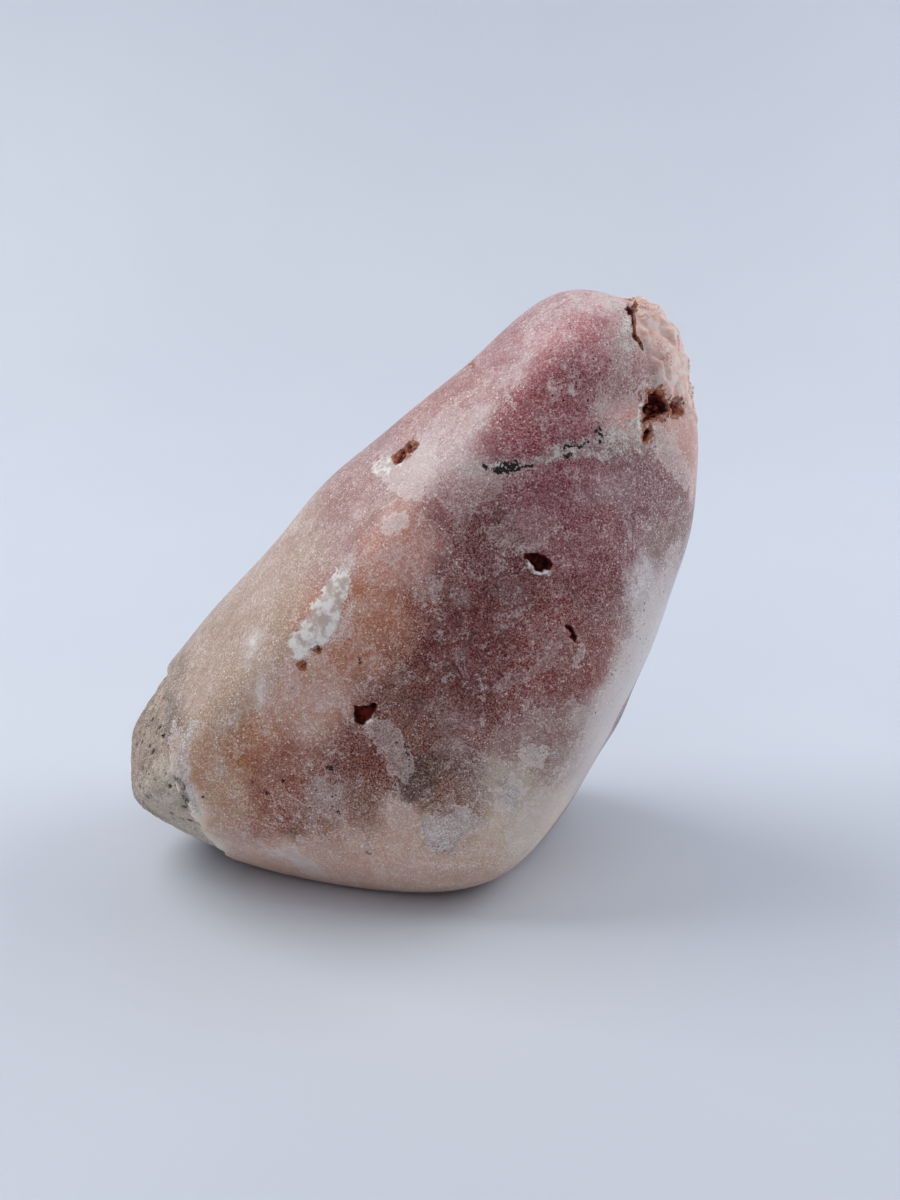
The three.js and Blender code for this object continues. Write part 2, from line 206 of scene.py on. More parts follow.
hollows = {    # outlines on the front, across and up, and depth and wall in millimetres
    "vug": dict(depth=7.5, wall=1.1, rust=1.6, outline=[
        (56.5, 123.8), (59, 123.4), (60.4, 121.7), (61, 120), (61.2, 118.4),
        (59.6, 117.5), (57, 117.2), (55.2, 117.2), (55, 119.9), (56.1, 121.5)]),
    "sideHollow": dict(depth=1.5, wall=1.4, rust=1.6, outline=[
        (61.6, 120.6), (63.6, 120.6), (65.4, 119), (65.1, 117.2), (63, 117), (61.5, 118.4)]),
    "vugTail": dict(depth=1.8, wall=0.8, rust=1.2, outline=[
        (55.4, 115.4), (56.6, 115.8), (57.2, 114.6), (56.3, 112.8), (55.1, 112.6), (54.9, 114.1)]),
    "widePit": dict(depth=3.4, wall=0.8, rust=0.1, outline=[
        (26.4, 90.9), (28.2, 91.4), (30.5, 91.5), (31.8, 90.6), (33.6, 89), (32.4, 87.5),
        (31.2, 86.7), (29.2, 87.5), (28, 89.3)]),
    "squarePit": dict(depth=3.2, wall=0.8, rust=0.1, outline=[
        (-12.2, 55.8), (-10.4, 55.4), (-7.2, 56.3), (-7.6, 54.1), (-8.5, 52.3), (-10.2, 50.9),
        (-12, 51.2), (-12.2, 53.2)]),
    "narrowPit": dict(depth=2.4, wall=0.7, rust=0.1, outline=[
        (36.2, 75.3), (37.8, 74.4), (39.2, 72.6), (39.2, 70.4), (38.2, 70.9), (37.2, 72.8)]),
    "slopeSlit": dict(depth=1.3, wall=0.8, rust=0.7, outline=[
        (-3.4, 107.8), (-2.3, 109.3), (-0.6, 110.7), (1.8, 112.4), (2.9, 112.2), (0.7, 110),
        (-1.2, 108.1), (-2.3, 107.3)]),
    "slopePit": dict(depth=0.9, wall=0.6, rust=0.9, outline=[
        (13.6, 127.2), (14.4, 128.4), (15.6, 128.3), (15.2, 127.2)]),
    "upperScar": dict(depth=0.7, wall=0.7, rust=0.8, outline=[
        (-22.2, 68.4), (-20.8, 69.4), (-19.2, 69), (-19.4, 67.7), (-21.2, 67.5)]),
    "lowerScar": dict(depth=0.6, wall=0.6, rust=0.8, outline=[
        (-25.6, 65), (-24.2, 65.8), (-23, 64.9), (-23.6, 63.6), (-25.2, 63.8)]),
    "crackHole": dict(depth=2.6, wall=0.7, rust=0.5, outline=[
        (51.2, 142.2), (53.1, 142.3), (53.7, 141.3), (52.6, 140.5), (51.7, 141)]),
    "upperLedgePit": dict(depth=1.9, wall=0.9, rust=0.6, outline=[
        (-57.4, 34.9), (-56, 35), (-55.3, 33.4), (-55.8, 32), (-57, 32.6)]),
    "ledgePit": dict(depth=2.1, wall=0.9, rust=0.6, outline=[
        (-55, 28.6), (-53.4, 28.8), (-52.4, 26.4), (-52.6, 24.4), (-54.2, 25)]),
    "lowerLedgePit": dict(depth=1.5, wall=0.8, rust=0.5, outline=[
        (-52.4, 22), (-51, 21.8), (-50.4, 19.8), (-51.2, 18.6), (-52.3, 19.8)]),
}
crack = {    # a split from the crack hole down to a chipped white end
    "line": [(52.8, 141), (52.6, 138.5), (52.8, 137), (53.7, 135.4), (54.9, 133.6)],
    "halfWidths": [0.55, 0.16, 0.34, 0.3, 0.12],
    "depth": 1.5,
    "rust": 0.9,
}
edgeWaver = {"size": 1.5, "height": 0.6, "seeds": (31, 41), "layers": 3}    # of hollow outlines
crust = {    # rough blocky skin over the right shoulder
    "middle": (64, 3, 131),
    "reach": 21,
    "lumps": 40,
    "turn": 2.4,    # radians from one lump to the next
    "radius": (2.108, 4.34),
    "rise": (0.7, 2.2),
    "riseLoss": 0.6,    # share lost at the crust's edge
    "tilt": 0.22,
    "steepness": (0.7, 1.8),
    "sideReach": (0.6, 1.1),
    "left": 53.5,
    "roughness": 0.12,
    "fade": (2, -4),    # from past the reach to inside it
    "ragged": {"size": 9, "height": 3.5, "seed": 3},
    "waver": {"size": 2.5, "height": 0.7, "seeds": (35, 36)},
    "warp": {"size": 3.5, "height": 0.5, "seeds": (21, 22, 23)},
    "frontOutline": [(52.6, 147), (52.9, 140.5), (55, 134.6), (57, 129), (57.4, 125.4),
                     (60.6, 122.6), (62.4, 118.6), (66, 116), (76, 113), (82, 150)],
    "seed": 41,
}
brokenEnd = {    # left end past a ledge, never polished
    "across": (0.94, 0.04, 0.33),
    "place": -42,
    "drop": 1.3,
    "fall": 13,
    "roughness": 0.45,
    "ragged": 1.4,
    "pores": 150,
    "poreRadius": (0.35, 0.95),
    "poreDepth": 1.3,    # times the radius
    "seed": 11,
}


def distanceToOutline(places, outline):    # millimetres inside an outline, negative outside it
    corners = np.asarray(outline, dtype=float)
    nearest = np.full(len(places), 1e9)
    inside = np.zeros(len(places), dtype=bool)
    for start, end in zip(corners, np.roll(corners, -1, axis=0)):
        edge = end - start
        along = np.clip(((places - start) @ edge) / (edge @ edge), 0, 1)
        gap = np.linalg.norm(places - start - along[:, None] * edge, axis=1)
        nearest = np.minimum(nearest, gap)
        crosses = (start[1] > places[:, 1]) != (end[1] > places[:, 1])
        reach = start[0] + (places[:, 1] - start[1]) / (end[1] - start[1] + 1e-9) * edge[0]
        inside ^= crosses & (places[:, 0] < reach)
    return np.where(inside, nearest, -nearest)


def distanceToLine(places, line, values=None):    # distance to a bent line, and a value along it
    corners = np.asarray(line, dtype=float)
    values = np.zeros(len(corners)) if values is None else np.asarray(values, dtype=float)
    nearest, valueThere = np.full(len(places), 1e9), np.zeros(len(places))
    for i in range(len(corners) - 1):
        edge = corners[i + 1] - corners[i]
        along = np.clip(((places - corners[i]) @ edge) / (edge @ edge), 0, 1)
        gap = np.linalg.norm(places - corners[i] - along[:, None] * edge, axis=1)
        closer = gap < nearest
        nearest = np.where(closer, gap, nearest)
        valueThere = np.where(closer, values[i] + (values[i + 1] - values[i]) * along, valueThere)
    return nearest, valueThere


def onFront(points):
    return points[:, 1] < 3


def pastLedge(points):    # millimetres past the ledge of the unpolished end
    across = np.array(brokenEnd["across"]) / np.linalg.norm(brokenEnd["across"])
    ragged = brokenEnd["ragged"] * layeredNoise(points, 7, 5)
    return brokenEnd["place"] - points @ across + ragged


def crustCover(points):    # 1 well inside the crust, 0 outside it
    gap = np.linalg.norm(points - np.array(crust["middle"]), axis=1)
    ragged = crust["ragged"]
    gap += ragged["height"] * layeredNoise(points, ragged["size"], ragged["seed"])
    outer, inner = crust["fade"]
    cover = smoothBetween(crust["reach"] + outer, crust["reach"] + inner, gap)
    places = points[:, [0, 2]] + waver(points, **crust["waver"])
    inside = distanceToOutline(places, crust["frontOutline"])
    return cover * np.where(onFront(points), smoothBetween(-0.4, 1.2, inside), 1)


def crustLumps():
    random = np.random.default_rng(crust["seed"])
    middle = surfaceAlong(np.array([np.array(crust["middle"]) - heart]) / 80)
    across, up, outward = surfaceFrames(middle)
    lumps = []
    for i in range(crust["lumps"]):
        share, turn = math.sqrt((i + 0.5) / crust["lumps"]), i * crust["turn"]
        reach = crust["reach"] * share
        spread = reach * (math.cos(turn) * across[0] + math.sin(turn) * up[0])
        toward = middle[0] + spread - heart
        point = surfaceAlong(np.array([toward / np.linalg.norm(toward)]))[0]
        if point[0] < crust["left"]:
            continue
        sides = random.integers(5, 8)
        lumps.append({
            "point": point,
            "radius": random.uniform(*crust["radius"]),
            "rise": random.uniform(*crust["rise"]) * (1 - crust["riseLoss"] * share),
            "tilt": random.uniform(-crust["tilt"], crust["tilt"], 2),
            "turns": (np.arange(sides) + random.uniform(-0.3, 0.3, sides)) * 2 * math.pi / sides,
            "steep": random.uniform(*crust["steepness"], sides),
            "reaches": random.uniform(*crust["sideReach"], sides),
        })
    return lumps


def lumpHeights(points):
    height = np.full(len(points), -9.0)
    lumps = crustLumps()
    across, up, outward = surfaceFrames(np.array([lump["point"] for lump in lumps]))
    warp = waver(points, **crust["warp"])
    for i, lump in enumerate(lumps):
        away = points + warp - lump["point"]
        near = np.linalg.norm(away, axis=1) < lump["radius"] * 2.4
        a, b = away[near] @ across[i], away[near] @ up[i]
        top = lump["rise"] + lump["tilt"][0] * a + lump["tilt"][1] * b
        for turn, steep, reach in zip(lump["turns"], lump["steep"], lump["reaches"]):
            outwards = a * math.cos(turn) + b * math.sin(turn) - reach * lump["radius"]
            top = np.minimum(top, lump["rise"] * 0.8 - steep * outwards)
        height[near] = np.maximum(height[near], top)
    return height


def hollowDepths(points):    # depth of every hollow, and how far inside its outline each point is
    depths, insides = np.zeros(len(points)), {}
    places = points[:, [0, 2]]
    wobble = waver(points, **edgeWaver)
    front = onFront(points)
    for name, hollow in hollows.items():
        inside = distanceToOutline(places + wobble, hollow["outline"])
        inside = np.where(front, inside, farOutside)
        corners = frontPoints(np.array(hollow["outline"]))
        middle = corners.mean(axis=0)
        reach = np.linalg.norm(corners - middle, axis=1).max() + 0.6
        inside = np.minimum(inside, reach - np.linalg.norm(points - middle, axis=1))
        insides[name] = inside
        floor = hollow["depth"] * (1 + 0.22 * softNoise(points, 1.1, 33))
        depths = np.maximum(depths, floor * smoothBetween(-0.12, hollow["wall"], inside))
    gap, halfWidth = distanceToLine(places + wobble * 0.7, crack["line"], crack["halfWidths"])
    split = np.where(front, halfWidth - gap, farOutside)
    insides["crack"] = split
    depths = np.maximum(depths, crack["depth"] * smoothBetween(-0.1, 0.35, split))
    return depths, insides


def endPores(points):    # small dark holes of the unpolished end
    random = np.random.default_rng(brokenEnd["seed"])
    past = pastLedge(points)
    choice = np.flatnonzero(past > 0.3)
    centres = points[random.choice(choice, brokenEnd["pores"], replace=False)]
    depth = np.zeros(len(points))
    for centre in centres:
        radius = random.uniform(*brokenEnd["poreRadius"])
        bowl = smoothBetween(radius, radius * 0.3, np.linalg.norm(points - centre, axis=1))
        depth = np.maximum(depth, brokenEnd["poreDepth"] * radius * bowl)
    return depth


def reliefOf(points):    # height over the polish, and the masks that the finish reads
    past = pastLedge(points)
    beyond = smoothBetween(0, 0.7, past)
    uneven = layeredNoise(points, 5, 14, 4) * 0.7 + layeredNoise(points, 1.6, 15, 2) * 0.25
    sunk = brokenEnd["drop"] * np.exp(-(past / brokenEnd["fall"]) ** 2)
    relief = -beyond * (sunk + brokenEnd["roughness"] * (1 + uneven))
    pores = endPores(points) * smoothBetween(-0.4, 0.6, past)
    relief -= pores
    cover = crustCover(points)
    lumps = np.maximum(lumpHeights(points), -0.25)
    relief += cover * (lumps + crust["roughness"] * layeredNoise(points, 2.2, 17))
    depths, insides = hollowDepths(points)
    relief = np.where(depths > 0.02, relief * smoothBetween(2, 0, depths) - depths, relief)
    return relief, {"past": past, "cover": cover, "depths": depths, "insides": insides,
                    "pores": pores}


detailEdges = {"hollow": 0.3, "crust": 0.62, "end": 0.66, "mark": 0.34}    # millimetres
detailMargins = {"hollow": 0.9, "crack": 1.3, "mark": 0.6, "crust": 4, "end": 2}
detailLimits = {"front": 6, "marks": 4, "base": 3}    # fine in front of these y, above this z


def wantedEdges(points):
    onFace = points[:, 1] < detailLimits["front"]
    wanted = np.where(onFace, stoneForm["frontEdge"], stoneForm["backEdge"])
    wanted[points[:, 2] < detailLimits["base"]] = stoneForm["backEdge"]
    wanted[pastLedge(points) > -detailMargins["end"]] = detailEdges["end"]
    gap = np.linalg.norm(points - np.array(crust["middle"]), axis=1)
    wanted[gap < crust["reach"] + detailMargins["crust"]] = detailEdges["crust"]
    places, front = points[:, [0, 2]], points[:, 1] < detailLimits["marks"]
    for hollow in hollows.values():
        inside = distanceToOutline(places, hollow["outline"])
        wanted[front & (inside > -detailMargins["hollow"])] = detailEdges["hollow"]
    gap = distanceToLine(places, crack["line"])[0]
    wanted[front & (gap < detailMargins["crack"])] = detailEdges["hollow"]
    for mark in blackMarks.values():
        gap, halfWidth = distanceToLine(places, mark["line"], mark["halfWidths"])
        wanted[front & (gap < halfWidth + detailMargins["mark"])] = detailEdges["mark"]
    return wanted


def smoothStoneMesh():
    bm = bmesh.new()
    bmesh.ops.create_icosphere(bm, subdivisions=stoneForm["divisions"], radius=1)
    axis = np.array(stoneForm["longAxis"])
    rays = unitRows([v.co for v in bm.verts])
    rays = unitRows(rays + np.outer(rays @ axis, axis))    # crowds faces towards the far ends
    for vert, point in zip(bm.verts, surfaceAlong(rays)):
        vert.co = point
    for step in range(stoneForm["rounds"]):
        bm.verts.ensure_lookup_table()
        bm.verts.index_update()
        places = np.array([v.co for v in bm.verts])
        ends = np.array([(e.verts[0].index, e.verts[1].index) for e in bm.edges])
        first, second = places[ends[:, 0]], places[ends[:, 1]]
        allowed = stoneForm["splitOver"] * wantedEdges((first + second) / 2)
        long = np.linalg.norm(first - second, axis=1) > allowed
        if not long.any():
            break
        chosen = [edge for edge, split in zip(bm.edges, long) if split]
        old = len(bm.verts)
        bmesh.ops.subdivide_edges(bm, edges=chosen, cuts=1)
        bm.verts.ensure_lookup_table()
        fresh = bm.verts[old:]
        away = unitRows(np.array([v.co for v in fresh]) - heart)
        for vert, point in zip(fresh, surfaceAlong(away)):
            vert.co = point
        bmesh.ops.triangulate(bm, faces=bm.faces[:])
    folded = [vert for vert in bm.verts if len(vert.link_faces) < 3]    # tips of doubled faces
    bmesh.ops.delete(bm, geom=folded, context="VERTS")
    return bm, np.array([v.co for v in bm.verts])


def setAttribute(mesh, name, values):
    attribute = mesh.attributes.new(name, "FLOAT", "POINT")
    attribute.data.foreach_set("value", np.asarray(values, dtype=np.float32))


def setTint(mesh, name, colours):
    attribute = mesh.attributes.new(name, "FLOAT_COLOR", "POINT")
    full = np.column_stack([colours, np.ones(len(colours))]).astype(np.float32)
    attribute.data.foreach_set("color", full.ravel())


stoneTints = {    # place across and up, reach in millimetres, colour
    "summit pink": ((42, 142), 10, (0.71, 0.40, 0.43)),
    "upper slope pink": ((26, 133), 10, (0.60, 0.35, 0.36)),
    "slope edge pink": ((13, 124), 9, (0.61, 0.35, 0.32)),
    "rose under the summit": ((37, 134), 7, (0.80, 0.43, 0.45)),
    "deep rose": ((33, 124), 7, (0.50, 0.15, 0.17)),
    "mauve beside the rose": ((45, 127), 7, (0.42, 0.12, 0.145)),
    "grey mauve shoulder": ((54, 129), 6, (0.56, 0.35, 0.36)),
    "pale crust": ((64, 131), 11, (0.90, 0.62, 0.53)),
    "blush below the vug": ((65, 110), 7, (0.83, 0.58, 0.52)),
    "violet right": ((56, 101), 9, (0.40, 0.20, 0.225)),
    "violet middle": ((36, 107), 8, (0.41, 0.13, 0.175)),
    "purple maroon": ((44, 95), 8, (0.40, 0.12, 0.14)),
    "rose strip": ((10, 104), 5, (0.55, 0.30, 0.30)),
    "salmon slope": ((-1, 91), 8, (0.78, 0.49, 0.43)),
    "brown maroon upper": ((15, 93), 7, (0.29, 0.085, 0.085)),
    "pink middle slope": ((6, 111), 8, (0.72, 0.57, 0.59)),
    "pink tan slope": ((-12, 97), 10, (0.59, 0.39, 0.36)),
    "upper tan": ((-28, 83), 10, (0.68, 0.53, 0.45)),
    "lower left tan": ((-43, 63), 11, (0.64, 0.50, 0.41)),
    "pink middle left": ((-24, 51), 7, (0.76, 0.52, 0.43)),
    "ochre": ((-37, 44.5), 4, (0.60, 0.28, 0.09)),
    "grey tan end": ((-66, 36), 9, (0.31, 0.24, 0.18)),
    "cream end": ((-60, 48), 6, (0.50, 0.38, 0.28)),
    "low grey end": ((-60, 26), 8, (1.0, 0.95, 0.84)),
    "salmon centre left": ((-9, 77), 8, (0.70, 0.39, 0.27)),
    "rust red": ((3, 80), 3.5, (0.42, 0.12, 0.07)),
    "maroon core": ((14, 72), 10.5, (0.23, 0.018, 0.012)),
    "maroon below the core": ((12, 54), 5, (0.42, 0.20, 0.17)),
    "maroon right": ((34, 68), 9, (0.44, 0.16, 0.14)),
    "maroon low": ((6, 57), 8, (0.29, 0.08, 0.038)),
    "brown low": ((-13, 41), 7, (0.29, 0.055, 0.022)),
    "brown low left": ((-15, 28), 7, (0.37, 0.165, 0.10)),
    "rose low left": ((-31, 35), 8, (0.50, 0.215, 0.135)),
    "left rose": ((-46, 33), 8, (0.70, 0.48, 0.35)),
    "dark channel": ((6, 39), 5, (0.13, 0.03, 0.006)),
    "dark channel right": ((16, 41), 4, (0.26, 0.11, 0.07)),
    "pale low right": ((25, 37), 6, (0.78, 0.69, 0.61)),
    "brown rose low right": ((33, 52), 7, (0.52, 0.34, 0.30)),
    "lower middle": ((12, 34), 5, (0.38, 0.17, 0.09)),
    "bottom band": ((-12, 13), 12, (0.81, 0.61, 0.51)),
    "bottom right": ((20, 14), 11, (0.74, 0.56, 0.45)),
    "pale right foot": ((30, 24), 9, (0.90, 0.80, 0.70)),
    # whitish flank: milky quartz in part, and in part a painted reflection of the bright
    # surroundings on the grazing flank
    "flank white and sheen": ((56, 64), 9, (0.81, 0.79, 0.77)),
    "flank white and sheen high": ((62, 80), 6, (0.72, 0.66, 0.66)),
    "flank white and sheen low": ((46, 47), 8, (0.80, 0.74, 0.72)),
    "flank violet": ((62, 90), 6, (0.48, 0.33, 0.31)),
    "mauve low right": ((45, 80), 6.5, (0.37, 0.14, 0.135)),
    "top right slope": ((52, 119), 4, (0.90, 0.43, 0.34)),
}
backTints = {
    "back maroon": ((20, 60), 18, (0.28, 0.10, 0.10)),
    "back rose": ((30, 100), 16, (0.50, 0.27, 0.27)),
    "back tan": ((-30, 50), 18, (0.52, 0.39, 0.32)),
    "back pink": ((5, 95), 16, (0.58, 0.38, 0.37)),
    "back violet": ((45, 75), 14, (0.36, 0.20, 0.24)),
    "back foot": ((0, 12), 20, (0.52, 0.37, 0.30)),
    "back summit": ((42, 135), 16, (0.60, 0.39, 0.39)),
    "back ochre": ((-12, 72), 9, (0.46, 0.26, 0.16)),
}
tintBlend = {
    "sharpness": 1.0,
    "waver": {"size": 14, "height": 3.0, "seeds": (51, 61, 71), "layers": 3},
    "patchSize": 9,
    "patchStrength": 1.6,
    "patchSeed": 300,
}


def tintColours(points):
    moved = points + waver(points, **tintBlend["waver"])
    total, weights = np.zeros((len(points), 3)), np.zeros(len(points))
    for tints, behind in ((stoneTints, False), (backTints, True)):
        for number, (place, reach, colour) in enumerate(tints.values()):
            inner = np.array([[place[0], search["inside"], place[1]]])
            across = search["across"] if behind else -search["across"]
            middle = surfaceBetween(inner, inner + (0, across, 0))[0]
            gap = np.linalg.norm(moved - middle, axis=1) / reach
            weight = np.exp(-tintBlend["sharpness"] * gap * gap) + 1e-5 / (0.1 + gap ** 4)
            near = weight > 1e-4
            patches = layeredNoise(points[near], tintBlend["patchSize"],
                                   tintBlend["patchSeed"] + number, 4)
            weight[near] *= np.exp(tintBlend["patchStrength"] * patches)
            total += weight[:, None] * np.array(colour)
            weights += weight
    return total / weights[:, None]


creamPatches = {    # crisp ragged patches: outlines on the front, across and up
    "shoulderCream": [(-27.4, 69.8), (-24.7, 73.3), (-20.5, 79.1), (-17.7, 83.5), (-15.4, 85.9),
                      (-13, 85.4), (-14.1, 80), (-15.7, 74.4), (-17.6, 70.8), (-22.3, 68.2),
                      (-23.5, 65.8), (-26.4, 65.6)],
}
creamBands = {    # pale chipped lips of the small hollows
    "widePitLip": dict(line=[(28, 89), (29.1, 87.6), (30.7, 86.7), (32.6, 87.1)],
                       halfWidths=[0.2, 0.6, 0.7, 0.4]),
    "slopeSlitLip": dict(line=[(-8.1, 104.8), (-5.6, 106.1), (-3.2, 107.5), (-1.7, 107.5)],
                         halfWidths=[0.6, 1.2, 1.1, 0.3]),
    "squarePitLip": dict(line=[(-12.8, 52), (-10.9, 51), (-8.1, 52)],
                         halfWidths=[0.3, 0.5, 0.4]),
    "footPitLip": dict(line=[(-12.4, 18.6), (-10, 19.6), (-8.1, 19.2)],
                       halfWidths=[0.4, 0.5, 0.3]),
    "vugLip": dict(line=[(54.4, 121), (54.2, 118), (54.3, 115)], halfWidths=[0.6, 0.5, 0.4]),
}
greyPatches = {
    "veinBody": [(38.5, 113.9), (42, 115.6), (43.9, 117.1), (47.2, 117.8), (54.2, 118.5),
                 (55.7, 114.5), (57.3, 110.5), (54.2, 109.5), (50.5, 111.8), (47.3, 110.2),
                 (44.4, 109.6), (43.7, 112.4), (39.7, 112.2)],
    "summitCrumb": [(46.5, 144), (49.8, 142.5), (51.6, 140.8), (52.6, 138), (54, 134.4),
                    (52.4, 133), (50.2, 133.6), (48.6, 136), (49.9, 139.2), (48.4, 141.6)],
    "lowRightCrust": [(27.3, 46.1), (29.6, 47.6), (32, 46.1), (30.8, 44.4), (28.1, 44.7)],
    "lowerCrust": [(20.5, 39.4), (23.9, 40), (25.6, 36.3), (25.2, 31.2), (21.7, 33.7)],
    "palePool": [(3.4, 27.9), (11.2, 29.5), (17, 31), (17.5, 28.5), (13.5, 24.5), (10.5, 18.8),
                 (5.3, 19.4), (3.4, 25.3)],
}
greyBands = {
    "vein": dict(line=[(13, 109.6), (20, 110.2), (28.2, 111), (32.3, 112.3), (38, 113.6),
                       (44.4, 114)], halfWidths=[0.3, 0.7, 0.9, 1.3, 1.5, 2.5]),
    "endStreak": dict(line=[(-50.6, 47.5), (-53, 42.4), (-54.2, 38.1), (-53.1, 35), (-51.9, 30),
                            (-50.6, 25)], halfWidths=[0.8, 1.5, 1.8, 1.6, 1, 0.4]),
}
paleThreads = {    # thin broken frosty lines
    "rightStreak": dict(line=[(55.1, 93.9), (58.3, 92.6)], halfWidths=[0.5, 0.2]),
    "pitContour": dict(line=[(24, 91), (27, 92.4), (31, 93.6), (34.4, 96.6)],
                       halfWidths=[0.2, 0.3, 0.35, 0.2]),
    "bottomFrost": dict(line=[(-4.3, 15.8), (5.2, 16.4), (16.6, 15.9)],
                        halfWidths=[0.2, 0.45, 0.4]),
    "coreStreak": dict(line=[(17.2, 62.5), (17.6, 59), (17.3, 55.5), (17.6, 52.5)],
                       halfWidths=[0.2, 0.3, 0.35, 0.2]),
    "slopeScratch": dict(line=[(-22, 97.5), (-26, 92), (-29, 87)],
                         halfWidths=[0.2, 0.35, 0.2]),
    "creamFringe": dict(line=[(-13.5, 85), (-12.5, 79.5), (-14.5, 74), (-17.5, 70)],
                        halfWidths=[0.5, 0.7, 0.6, 0.6]),
}
